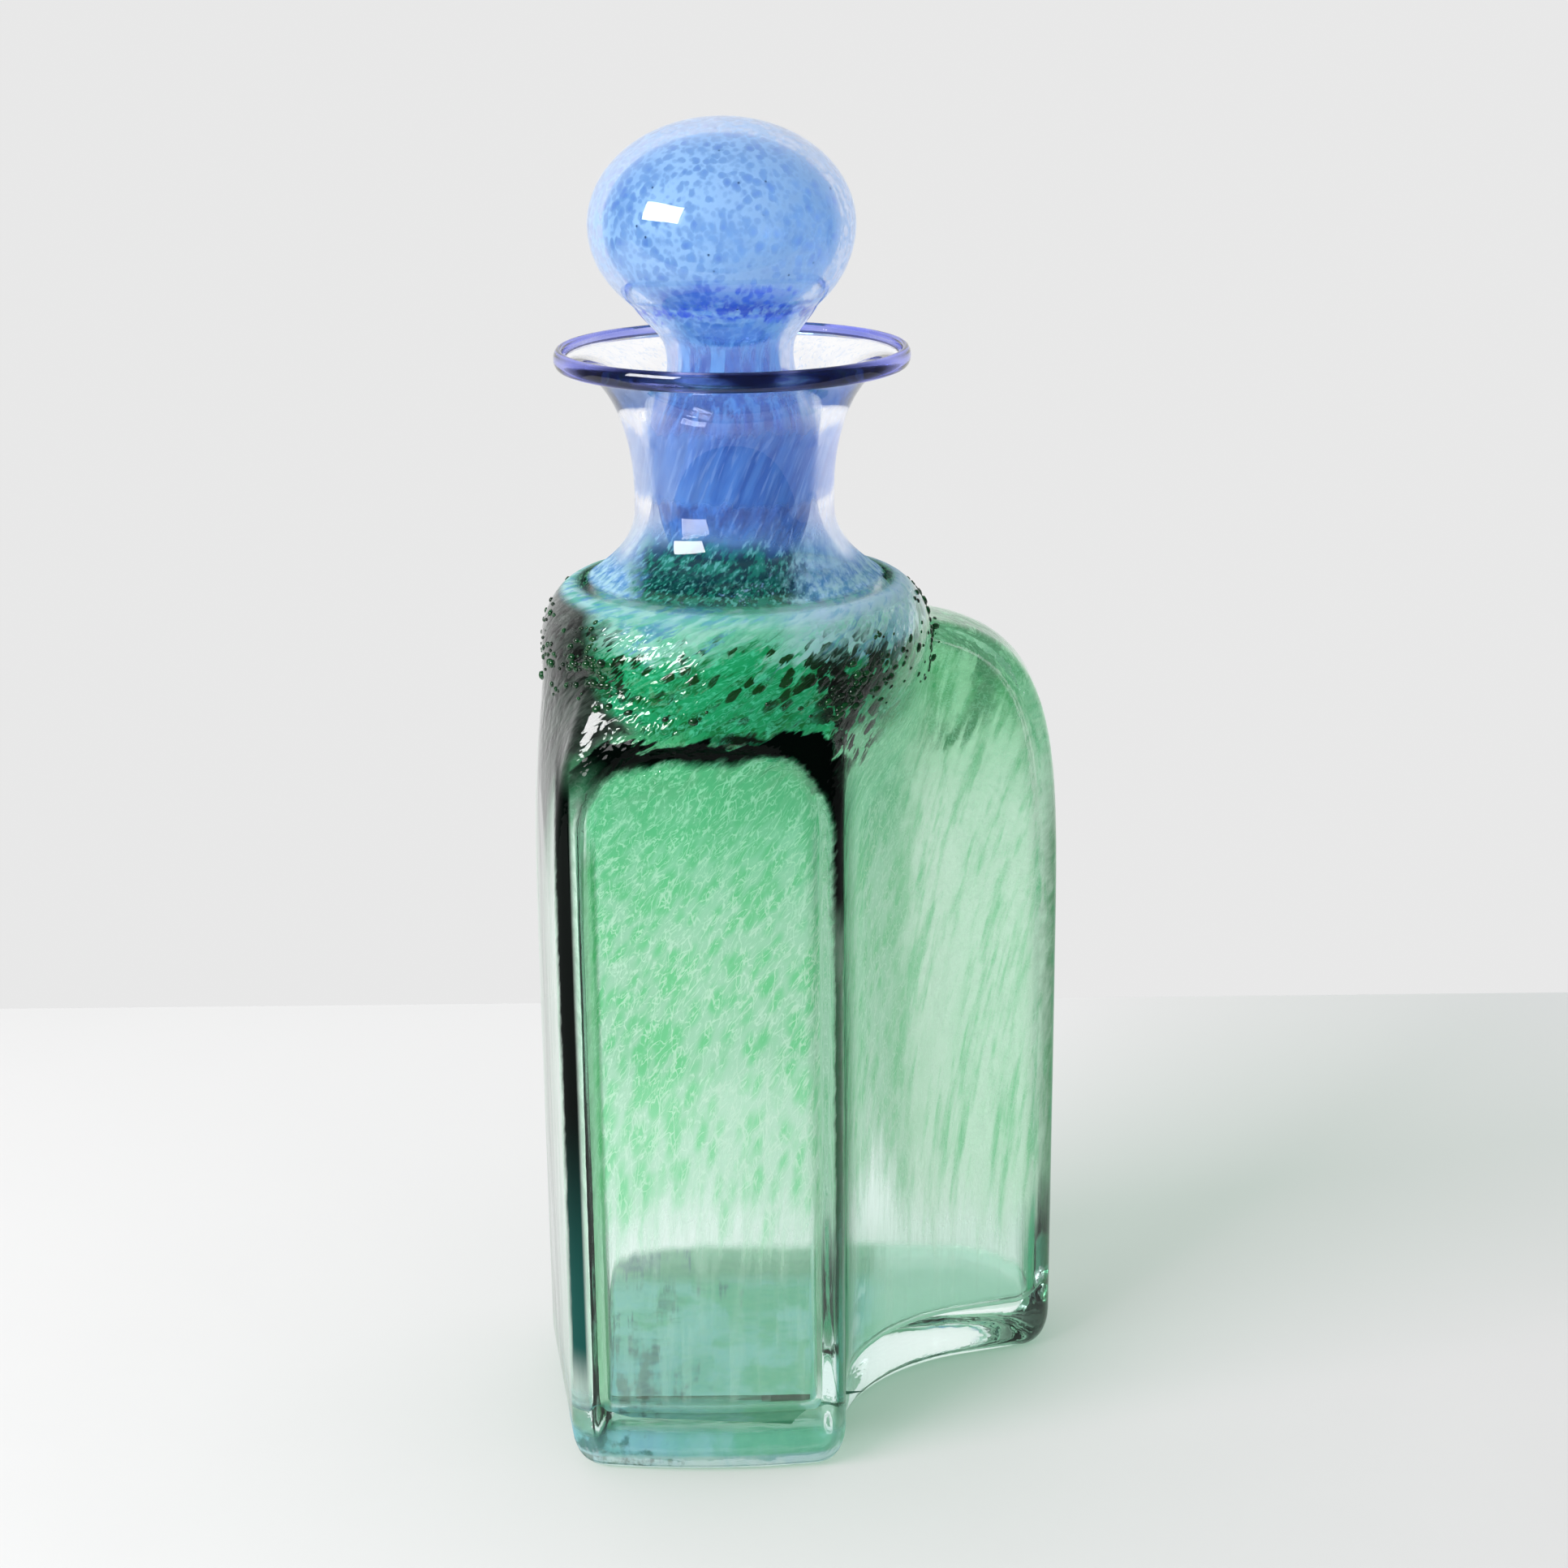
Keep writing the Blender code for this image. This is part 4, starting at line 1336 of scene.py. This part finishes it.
# Painted shade: the end of the wing is darker green, for the long path through its glass seen edge-on.
rim = f.rise(x + (streak - 0.5) * 0.004, *WING_END) * f.rise(z, *WING_END_TOP)
shade_and_highlight_line_hue = f.mix(rim, shade_and_highlight_line_hue, once(70, 160, 118))
shade_and_highlight_line_hue = f.mix(groove_highlight, shade_and_highlight_line_hue, once(150, 196, 166))
line = f.most(f.most(line, groove_highlight) * f.rise(z, 0.006, 0.016), rim)
f.count("the lines in the ridges")

# %% [markdown]
# ### Layers near the outer face
# The black band, the dark strips beside both ridges, the ring at the crease and the blue heel are painted
# on the outer skin, each with its own share of milk. The band is partly dark glass and partly painted
# shade, the strips are painted shade on the rounded corners, and the pale blue heel is painted light.

# %% Green glass: painted shade strips beside the ridges
BLACK_AND_SHADE_MILK, BESIDE_SHADE_MILK = 0.85, 0.75
STRIP_LEFT, STRIP_RIGHT = (-0.0374, -0.0362), (-0.0324, -0.0336)

# Painted shade: dark green strips on the rounded corner right of the panel, where the thick glass bends
# dark surroundings into view.
beside_shade = f.rise(x, 0.0206, 0.0216) * f.rise(x, 0.0262, 0.0236) * f.rise(y, -0.010, -0.026)
beside_shade = beside_shade * f.rise(z, 0.008, 0.020) * f.rise(z, 0.160, 0.140) * outside
# Painted shade: a black-green strip on the rounded left front corner, for the same dark surroundings.
left_strip_shade = f.rise(x + (grit - 0.5) * 0.0008, *STRIP_LEFT) * f.rise(x, *STRIP_RIGHT)
left_strip_shade = left_strip_shade * f.rise(y, -0.020, -0.028) * f.rise(z, 0.010, 0.030) * f.rise(z, 0.162, 0.150)
round_corner = f.rise(y + (patches - 0.5) * 0.012 + (grit - 0.5) * 0.006, -0.026, -0.036)
# The black layer holds the band's dark glass and painted shade, and the left strip's painted shade.
black_and_shade = f.most(band * f.most(round_corner, f.rise(x, 0.020, 0.016)), left_strip_shade) * outside
black_and_shade_hue = f.mix(f.rise(z, 0.085, 0.035), tone(0, 5, 3), tone(20, 74, 68))
f.count("the strips")

# %% Green glass: ring at the crease
RING = (0.1838, 0.1862)
CREASE_LINE = (0.1868, 0.1872)
RING_MILK = 0.75

ring = f.rise(z, *RING) * outside
ring_hue = f.mix(f.rise(blobs, 0.42, 0.58), tone(156, 204, 206), tone(92, 172, 160))
ring_hue = f.mix(f.rise(x, 0.004, 0.018), ring_hue, tone(170, 194, 228))
ring_hue = f.mix(f.rise(streak, 0.50, 0.64) * 0.6, ring_hue, tone(70, 128, 196))
ring_hue = f.mix(f.rise(z, *CREASE_LINE), ring_hue, tone(14, 54, 66))
f.count("the ring")

# %% Green glass: painted light on the heel in front
HEEL_TOP, HEEL_FOOT, HEEL_FRONT = (0.0110, 0.0080), (0.0006, 0.0016), (-0.024, -0.032)
HEEL_LIGHT_MILK = 0.68

# Painted light: the front heel is pale blue-grey, for the light seen through the foot; darker streaks lie
# at its left.
heel = f.rise(z, *HEEL_TOP) * f.rise(z, *HEEL_FOOT) * f.rise(y, *HEEL_FRONT) * outside
heel_light_hue = f.mix(f.rise(floor_blotches, 0.40, 0.60), tone(176, 200, 206), tone(128, 172, 188))
heel_light_hue = f.mix(f.rise(z, 0.0042, 0.0052), heel_light_hue, floor_shadow_hue)
heel_stain = f.rise(floor_blotches * 0.6 + streak * 0.5 - f.over(x, -0.016) * 9.0, 0.52, 0.62)
heel_stain = heel_stain * f.rise(z, 0.0044, 0.0036)
heel_light_hue = f.mix(heel_stain, heel_light_hue, tone(24, 50, 72))
f.count("the heel")

# %% Green glass: lay the layers over each other
crease_and_lit_heel = f.most(ring * RING_MILK, heel * HEEL_LIGHT_MILK)
milk = f.most(f.most(milk, black_and_shade * BLACK_AND_SHADE_MILK), f.most(beside_shade * BESIDE_SHADE_MILK, crease_and_lit_heel))
beside_shade_hue = f.mix(f.rise(streak, 0.4, 0.6), tone(30, 112, 70), tone(92, 164, 122))
cloud_colour = f.mix(beside_shade, cloud_colour, beside_shade_hue)
cloud_colour = f.mix(ring, cloud_colour, ring_hue)
cloud_colour = f.mix(heel, cloud_colour, heel_light_hue)
cloud_colour = f.mix(black_and_shade, cloud_colour, black_and_shade_hue)
f.count("the layers")

# %% [markdown]
# ### Tint and skin
# Clear glass tints light twice, once where it crosses the skin and once in its depth. The skin's tint
# draws the dark lines of painted shade, the light line of painted highlight, the smoke's grey and the
# black band, and the depth's tint makes thick places greener than thin ones. The skin also has the soft
# waves and, on the shoulder, the hammered look of glass shaped by hand.

# %% Green glass: tint and waves of the skin
WAVE_HEIGHT, WAVE_STRENGTH = 0.0006, 0.6

tint = f.mix(lined, tone(248, 254, 251), f.mix(0.15, colour, tone(255, 255, 255)))
tint = f.mix(f.most(faded, outside), tone(244, 250, 249), tint)
# Painted shade and highlight lines, the smoke's grey with its painted shade and the black band's painted
# shade all tint the outer skin.
tint = f.mix(line * outside, tint, shade_and_highlight_line_hue)
tint = f.mix(smoke_and_shade * 0.6, tint, tone(110, 116, 112))
tint = f.mix(black_and_shade, tint, once(4, 10, 6))
rough_side = f.rise(x, 0.0, -0.016) * f.rise(z, 0.185, 0.180) * 1.3 + 1.0
hammer = f.noise(turned_place, 480.0, 1.0, 0.5) * f.rise(z, 0.140, 0.165) * (1.0 - wing * 0.7)
hammer = hammer * rough_side * (1.0 - smoke_and_shade * 0.8)
wobble = f.noise(f.vector_of(x, y, z * 0.25), 120.0, 2.0, 0.5) * 0.8 + streak * 0.10 + hammer * 1.3
relief = f.bump(wobble, WAVE_STRENGTH, WAVE_HEIGHT)
f.count("tint and waves")

# %% Green glass: put together
GREEN_SHADOW = (0.71, 0.83, 0.76, 1.0)
GREEN_DEPTH, GREEN_DENSITY = (0.58, 0.86, 0.83, 1.0), 6.0
GREEN_LIT = 0.32

lit = GREEN_LIT * (1.0 - solid) * (1.0 - green_share * 0.4) * (1.0 - black_and_shade) * (1.0 - beside_shade)
cloud = f.cloud(lit, cloud_colour, tone(186, 230, 200))
surface = f.blend(milk, f.glass(tint, 0.0, Normal=relief), cloud)
surface = f.melted(fused, f.let_past(surface, GREEN_SHADOW))
put_on(body, f.finish(surface, GREEN_DEPTH, GREEN_DENSITY))

# %% [markdown]
# ## Dark glass of the grains
# The crushed glass is dark green bottle glass. Grains of 1 to 3 mm are too small to look into, so a glossy
# dark skin does as well as clear dark glass and keeps the render quick.

# %% Dark glass of the grains
GRAIN_GLOSS = 0.06

f = Finish("bottle_glass")
place = f.place()
tone_change = f.noise(place, 400.0, 2.0, 0.5)
colour = f.mix(f.rise(tone_change, 0.35, 0.65), tone(4, 30, 14), tone(14, 70, 34))
put_on(frit, f.finish(f.principled({"Base Color": colour, "Roughness": GRAIN_GLOSS, "IOR": GLASS_IOR})))

# %% [markdown]
# ## Blue glass of the neck
# The gather has blue streaks that turn with the pipe, fades to clear glass at the flare, and meets the
# body in a pale skirt with teal patches. One streaky noise, stretched along the neck and turned with
# height, gives all of it. The taper is ground, which shows as roughness and not as colour.

# %% Blue glass: streaks and threads
GROUND_FOOT, GROUND_TOP = (0.2065, 0.2072), (0.2172, 0.2165)
GROUND_ROUGHNESS = 0.20
WAIST, FOOT = (0.230, 0.217), (0.203, 0.194)


def ground_band(f, z):
    """One where plug and bore are ground to fit each other."""
    return f.rise(z, *GROUND_FOOT) * f.rise(z, *GROUND_TOP)


f = Finish("blue_glass")
place = f.place()
x, y, z = f.parts(place)
lined = f.attribute("lining")
fused = f.attribute("fused")
slanted = f.swirl(f.vector_of(x, y, z * 0.10), z * -22.0)
broad = f.noise(slanted, 90.0, 3.0, 0.6, 0.3)
streaks = f.noise(slanted, 420.0, 3.0, 0.6, 0.2)
fine = f.noise(slanted, 1100.0, 2.0, 0.5)
ragged = z + (broad - 0.5) * 0.010
waist = f.rise(ragged, *WAIST)
foot = f.rise(ragged, *FOOT)
ground = ground_band(f, z) * lined
blue = f.rise(broad * 0.7 + streaks * 0.4, 0.42, 0.66)

hue = f.mix(blue, tone(130, 178, 226), tone(14, 84, 176))
pale = f.mix(f.rise(streaks, 0.45, 0.65), tone(255, 255, 255), tone(232, 238, 253))
colour = f.mix(waist, pale, hue)
thread = f.rise(fine, 0.54, 0.68)
f.count("streaks and threads")

# %% Blue glass: teal patches on the foot
foot_hue = f.mix(f.rise(streaks, 0.35, 0.65), tone(70, 124, 184), tone(168, 206, 220))
across = x + (streaks - 0.5) * 0.012
middle = f.rise(y, -0.004, -0.014) * f.rise(across, -0.023, -0.017) * f.rise(across, 0.017, 0.009)
middle = middle * f.rise(ragged, 0.2000, 0.1965)
middle = middle * f.rise(broad + (fine - 0.5) * 0.5, 0.16, 0.30)
teal = f.mix(f.rise(streaks + (fine - 0.5) * 0.5, 0.44, 0.58), tone(0, 34, 36), tone(10, 96, 78))
foot_hue = f.mix(middle, foot_hue, teal)
colour = f.mix(foot, colour, foot_hue)
pale_thread = f.mix(middle * foot, tone(176, 208, 250), tone(96, 168, 164))
colour = f.mix(thread * (0.9 - foot * 0.35), colour, pale_thread)
f.count("the foot")

# %% [markdown]
# ### Ground seat and skirt
# Where the plug sits, the bore is frosted and looks deeper blue. The skirt at the very foot lies on the
# outer skin, so that the green shoulder doesn't shine through it.

# %% Blue glass: seat, skirt and milk
SKIRT = (0.1945, 0.1900)
SEAT_FOOT_EDGE, SEAT_TOP_EDGE = (0.2035, 0.2060), (0.2225, 0.2190)
SEAT_MILK, SKIRT_MILK = 0.55, 0.85

milk = (0.03 + blue * 0.16 + thread * 0.20) * waist * (1.0 - foot) + foot * (0.50 + middle * 0.46)
skirt = f.rise(z, *SKIRT) * (1.0 - lined)
seat_z = z + (broad - 0.5) * 0.007 + (streaks - 0.5) * 0.006
seat = f.rise(seat_z, *SEAT_FOOT_EDGE) * f.rise(seat_z, *SEAT_TOP_EDGE)
seat_hue = f.mix(f.rise(streaks * 0.7 + broad * 0.3, 0.42, 0.58), tone(84, 136, 196), tone(6, 70, 150))
seat_hue = f.mix(f.rise(x, -0.002, -0.010) * 0.5, seat_hue, tone(124, 162, 208))
seat_hue = f.mix(f.rise(fine, 0.52, 0.66) * 0.5, seat_hue, tone(160, 194, 232))
colour = f.mix(seat, colour, seat_hue)
milk = f.most(f.most(milk, seat * SEAT_MILK) * lined, skirt * SKIRT_MILK)
f.count("seat and skirt")

# %% Blue glass: put together
BLUE_SHADOW = (0.88, 0.92, 0.98, 1.0)
BLUE_DEPTH, BLUE_DENSITY = (0.80, 0.86, 1.0, 1.0), 5.0

tint = f.mix(lined, tone(253, 253, 255), f.mix(0.45, colour, tone(255, 255, 255)))
lit = (0.5 - foot * middle * 0.42) * (1.0 - skirt * 0.6)
cloud = f.cloud(lit, colour, tone(120, 168, 226))
surface = f.blend(milk, f.glass(tint, ground * GROUND_ROUGHNESS), cloud)
surface = f.melted(fused, f.let_past(surface, BLUE_SHADOW))
put_on(neck, f.finish(surface, BLUE_DEPTH, BLUE_DENSITY))

# %% [markdown]
# ## Cobalt trail
# The trail is so full of cobalt that it looks nearly black where it is thick. Its skin is almost
# colourless, but for a streaky painted shade of dark navy on its front, and the colour lies in its depth,
# so thin places stay bright blue, which a painted colour can't do.

# %% Cobalt glass
COBALT_SHADOW = (0.6, 0.6, 0.93, 1.0)
COBALT_DEPTH, COBALT_DENSITY = (0.28, 0.33, 0.88, 1.0), 150.0

f = Finish("cobalt_glass")
place = f.place()
y = f.parts(place)[1]
streaks = f.noise(f.vector('MULTIPLY', place, (1.0, 1.0, 4.0)), 60.0, 3.0, 0.5)
colour = f.mix(f.rise(streaks, 0.35, 0.65), tone(214, 216, 250), tone(160, 168, 240))
# Painted shade: streaky dark navy on the front of the trail, for the dark room that the thick bead shows
# there.
colour = f.mix(f.rise(y, -0.016, -0.030) * f.rise(streaks, 0.30, 0.55), colour, tone(40, 48, 84))
surface = f.let_past(f.glass(colour, 0.0), COBALT_SHADOW)
put_on(lip, f.finish(surface, COBALT_DEPTH, COBALT_DENSITY))

# %% [markdown]
# ## Pale blue glass of the stopper
# The ball is dotted all over in pale blue, and its waist and plug are drawn out in darker streaks. Cells
# give the dots, each with a shade of its own, and two sizes laid over each other hide how regular cells
# are. The streaks are made as the neck's are.

# %% Pale blue glass: dots and streaks
STEM, PLUG = (0.2440, 0.2330), (0.2240, 0.2180)
LARGE_DOTS, SMALL_DOTS = 520.0, 760.0

f = Finish("pale_blue_glass")
place = f.place()
x, y, z = f.parts(place)
lined = f.attribute("lining")
stem = f.rise(z, *STEM)
plug = f.rise(z, *PLUG)
loose = f.drift(f.vector_of(x, y, z * 0.8), 130.0, 0.003)
drawn = f.swirl(f.vector_of(x, y, z * 0.09), z * -9.0)
patches = f.noise(f.vector_of(x, y, z * 1.3), 60.0, 3.0, 0.6)
streaks = f.noise(drawn, 520.0, 3.0, 0.6)
grit = f.noise(loose, 900.0, 2.0, 0.6)
loose = f.drift(loose, 600.0, 0.0008)
other = f.drift(f.vector('ADD', place, (0.013, 0.007, 0.011)), 300.0, 0.0016)
dot = f.rise(f.cells(loose, LARGE_DOTS) + (grit - 0.5) * 0.2, 0.62, 0.18)
small_dot = f.rise(f.cells(other, SMALL_DOTS), 0.60, 0.20)
blue = dot * (f.cell_shade(loose, LARGE_DOTS) * 0.5 + 0.25) + small_dot * 0.2 + (patches - 0.5) * 1.1 + 0.08
blue = blue * (1.0 - stem) + f.rise(streaks, 0.36, 0.62) * stem
between_dots = f.rise(blue, 0.40, 0.0)
f.count("dots and streaks")

# %% Pale blue glass: colours
hue = f.mix(f.rise(blue, 0.0, 0.50), tone(168, 202, 228), tone(112, 166, 216))
hue = f.mix(f.rise(blue, 0.45, 1.0), hue, tone(70, 128, 206))
drawn_hue = f.mix(blue, tone(112, 168, 220), tone(10, 80, 180))
hue = f.mix(stem, hue, drawn_hue)
slanted = f.noise(f.swirl(f.vector_of(x, y, z * 0.07), z * -24.0), 520.0, 3.0, 0.6)
hue = f.mix(plug, hue, f.mix(f.rise(slanted, 0.60, 0.42), tone(66, 130, 200), tone(0, 56, 136)))
f.count("the colours")

# %% [markdown]
# ### Dark throat and specks
# Inside, where the ball narrows to the waist, cobalt colour gathered in a ragged ring. It sits higher in
# front than at the back. A few dark specks are scattered in the ball.

# %% Pale blue glass: throat and specks
THROAT_FOOT, THROAT_TOP = (0.2385, 0.2405), (0.2455, 0.2430)
FORE_FOOT, FORE_TOP = (0.2438, 0.2452), (0.2492, 0.2470)

throat_z = z + (streaks - 0.5) * 0.006
throat = f.rise(throat_z, *THROAT_FOOT) * f.rise(throat_z, *THROAT_TOP)
throat = throat * f.rise(y, -0.002, 0.006) * lined
fore = z + (streaks - 0.5) * 0.008 + x * x * 9.0
fore = f.rise(fore, *FORE_FOOT) * f.rise(fore, *FORE_TOP) * f.rise(y, 0.004, -0.004) * lined
throat = f.most(throat, fore * f.rise(streaks, 0.38, 0.56) * 0.8)
hue = f.mix(throat, hue, tone(14, 44, 190))
speck = f.rise(f.cells(place, 260.0), 0.075, 0.050) * (1.0 - stem)
hue = f.mix(speck, hue, tone(20, 40, 60))
f.count("the throat and the specks")

# %% Pale blue glass: put together
BALL_SHADOW = (0.76, 0.84, 0.97, 1.0)
BALL_DEPTH, BALL_DENSITY = (0.62, 0.74, 0.96, 1.0), 10.0
THROAT_MILK = 0.95

ball_milk = 0.42 + between_dots * 0.35 + speck * 0.5
stem_milk = 0.35 + f.rise(streaks, 0.55, 0.40) * 0.25 + plug * 0.25
milk = ball_milk * (1.0 - stem) + stem_milk * stem
milk = (milk * (1.0 - throat) + throat * THROAT_MILK) * lined
tint = f.mix(lined, tone(244, 248, 255), f.mix(0.2, hue, tone(255, 255, 255)))
lit = (0.5 - plug * 0.3) * (1.0 - throat)
cloud = f.cloud(lit * 0.6, hue, tone(104, 162, 214))
ground = ground_band(f, z) * (1.0 - lined)
surface = f.let_past(f.blend(milk, f.glass(tint, ground * GROUND_ROUGHNESS), cloud), BALL_SHADOW)
put_on(stopper, f.finish(surface, BALL_DEPTH, BALL_DENSITY))

# %% [markdown]
# ## Tie the pieces to the frame
# Each new piece stands for one CAD node and rides on that node's body, so the stopper lifts out of the
# neck as it does in the physics model.

# %% Ride and replace
for piece, body_name, node_name, slot_name in (
    (body, "flask", "flask_body", "green_glass"),
    (neck, "flask", "neck", "blue_glass"),
    (lip, "flask", "lip_wrap", "cobalt_glass"),
    (stopper, "stopper", "stopper", "pale_blue_glass"),
):
    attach(piece, body_name)
    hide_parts(node_name)

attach(frit, "flask")
print("pieces tied to the frame:", [piece.name for piece in (body, neck, lip, stopper, frit)])

# %% [markdown]
# ## Floor
# Clear glass shows what is round it, so a plain pale floor does much of the work: its far part, painted
# lighter as painted light where the window reaches it less, makes the foot of the glass glow. It ends a
# little behind the object, where the photo's table ends too. A plane is all it needs, with a hardly
# visible change of tone so that it isn't dead flat.

# %% Floor
FLOOR_LEFT, FLOOR_RIGHT = -1.6, 1.6
FLOOR_FRONT, FLOOR_BACK = -0.25, 0.233
FLOOR_TOP = -0.0002
FLOOR_GREYS = ((0.71, 0.71, 0.71, 1.0), (0.75, 0.75, 0.75, 1.0))
FAR_PAINTED_LIGHT_GREY = (0.82, 0.82, 0.82, 1.0)
FLOOR_ROUGHNESS = 0.7

bpy.ops.mesh.primitive_plane_add(size=1.0)
floor = bpy.context.active_object
floor.name = "floor"
set_places(floor, [
    (x, y, FLOOR_TOP) for y in (FLOOR_FRONT, FLOOR_BACK) for x in (FLOOR_LEFT, FLOOR_RIGHT)
])
f = Finish("pale_floor")
place = f.place()
x, y = f.parts(place)[:2]
colour = f.mix(f.noise(place, 9.0, 4.0, 0.6, 0.2), *FLOOR_GREYS)
# Painted light: the far right part of the floor is lighter, where the window reaches it less.
colour = f.mix(f.rise(y, -0.02, 0.23) * f.rise(x, -0.40, 0.05), colour, FAR_PAINTED_LIGHT_GREY)
put_on(floor, f.finish(f.principled({"Base Color": colour, "Roughness": FLOOR_ROUGHNESS})))

# %% [markdown]
# ## Space round the object
# A photographer lights glass from behind: a bright space there makes it glow, and a darker one behind
# the camera draws the dark lines in its thick edges. Boards and lamps could do this, but each would show
# in the glass as a thing with edges. A world whose brightness changes with direction has none. Rays that
# have crossed glass, reflections and the bare backdrop get a brightness each, as flags and screens in a
# studio would arrange it.

# %% Nodes of the world
BEHIND, BEFORE, THROUGH, FLAG = 0.88, 0.45, 1.0, 0.40
BACKDROP = 0.81
MIRRORED = 0.12
FLAG_START, FLAG_END = (0.66, 0.74), (0.93, 0.88)
BRIGHT_WAY = (-0.15, 0.35)
GLOSS_WAY = (0.20, 0.75)

world = bpy.data.worlds.new("Studio")
bpy.context.scene.world = world
world.use_nodes = True


class Sky(Nodes):
    """The nodes of the world."""

    def glow(self, strength):
        made = self.node("ShaderNodeBackground", {}, {"Color": WHITE, "Strength": strength})
        return Value(self, made.outputs[0])


print("brightness behind the object and before it:", BEHIND, BEFORE)

# %% Brightness by direction and by kind of ray
sky = Sky(world.node_tree)
way = Value(sky, sky.node("ShaderNodeTexCoord", {}, {}).outputs["Generated"])
way_x, way_y = sky.parts(way)[:2]
sideways = way_x * way_x
flags = sky.rise(sideways, *FLAG_START) * sky.rise(sideways, *FLAG_END)
bright = sky.rise(way_y, *BRIGHT_WAY) * (BEHIND - BEFORE) + BEFORE
through_glass = THROUGH - flags * (THROUGH - FLAG)
path = sky.node("ShaderNodeLightPath", {}, {})
seen, mirrored, crossings = (
    Value(sky, path.outputs[name]) for name in ("Is Camera Ray", "Is Glossy Ray", "Transmission Depth")
)
in_gloss = sky.rise(way_y, *GLOSS_WAY) * (BEHIND - MIRRORED) + MIRRORED
shown = sky.blend(mirrored, sky.glow(bright), sky.glow(in_gloss))
shown = sky.blend(sky.rise(crossings, 0.0, 1.0), shown, sky.glow(through_glass))
shown = sky.blend(seen, shown, sky.glow(BACKDROP))
sky.node("ShaderNodeOutputWorld", {}, {"Surface": shown})
print("world nodes:", len(world.node_tree.nodes))

# %% [markdown]
# ## Window
# One large window on the left gives the highlights on the ball, the mouth and the foot of the neck, and
# the soft shadow on the right. The highlight on the ball shows the window's shape, and the camera's line
# of sight, mirrored on the ball there, gives its direction. An area light has both at once.

# %% Window
WINDOW_AIM = Vector((0.0, 0.0, 0.259))
WINDOW_WAY = Vector((-0.741, -0.541, 0.395)).normalized()
WINDOW_DISTANCE = 1.3
WINDOW_WIDTH = 0.80
WINDOW_HEIGHT = 0.46
WINDOW_POWER = 22.0

window_data = bpy.data.lights.new("Window", 'AREA')
window_data.shape = 'RECTANGLE'
window_data.size = WINDOW_WIDTH
window_data.size_y = WINDOW_HEIGHT
window_data.energy = WINDOW_POWER
window = bpy.data.objects.new("Window", window_data)
window.location = WINDOW_AIM + WINDOW_WAY * WINDOW_DISTANCE
window.rotation_mode = 'QUATERNION'
window.rotation_quaternion = WINDOW_WAY.to_track_quat('Z', 'Y')
bpy.context.scene.collection.objects.link(window)

bpy.context.scene.view_settings.view_transform = 'Standard'
print("window at", [round(value, 2) for value in window.location], "with", WINDOW_POWER, "watts")

# %% [markdown]
# The visual model has to stay inside the CAD model's box.
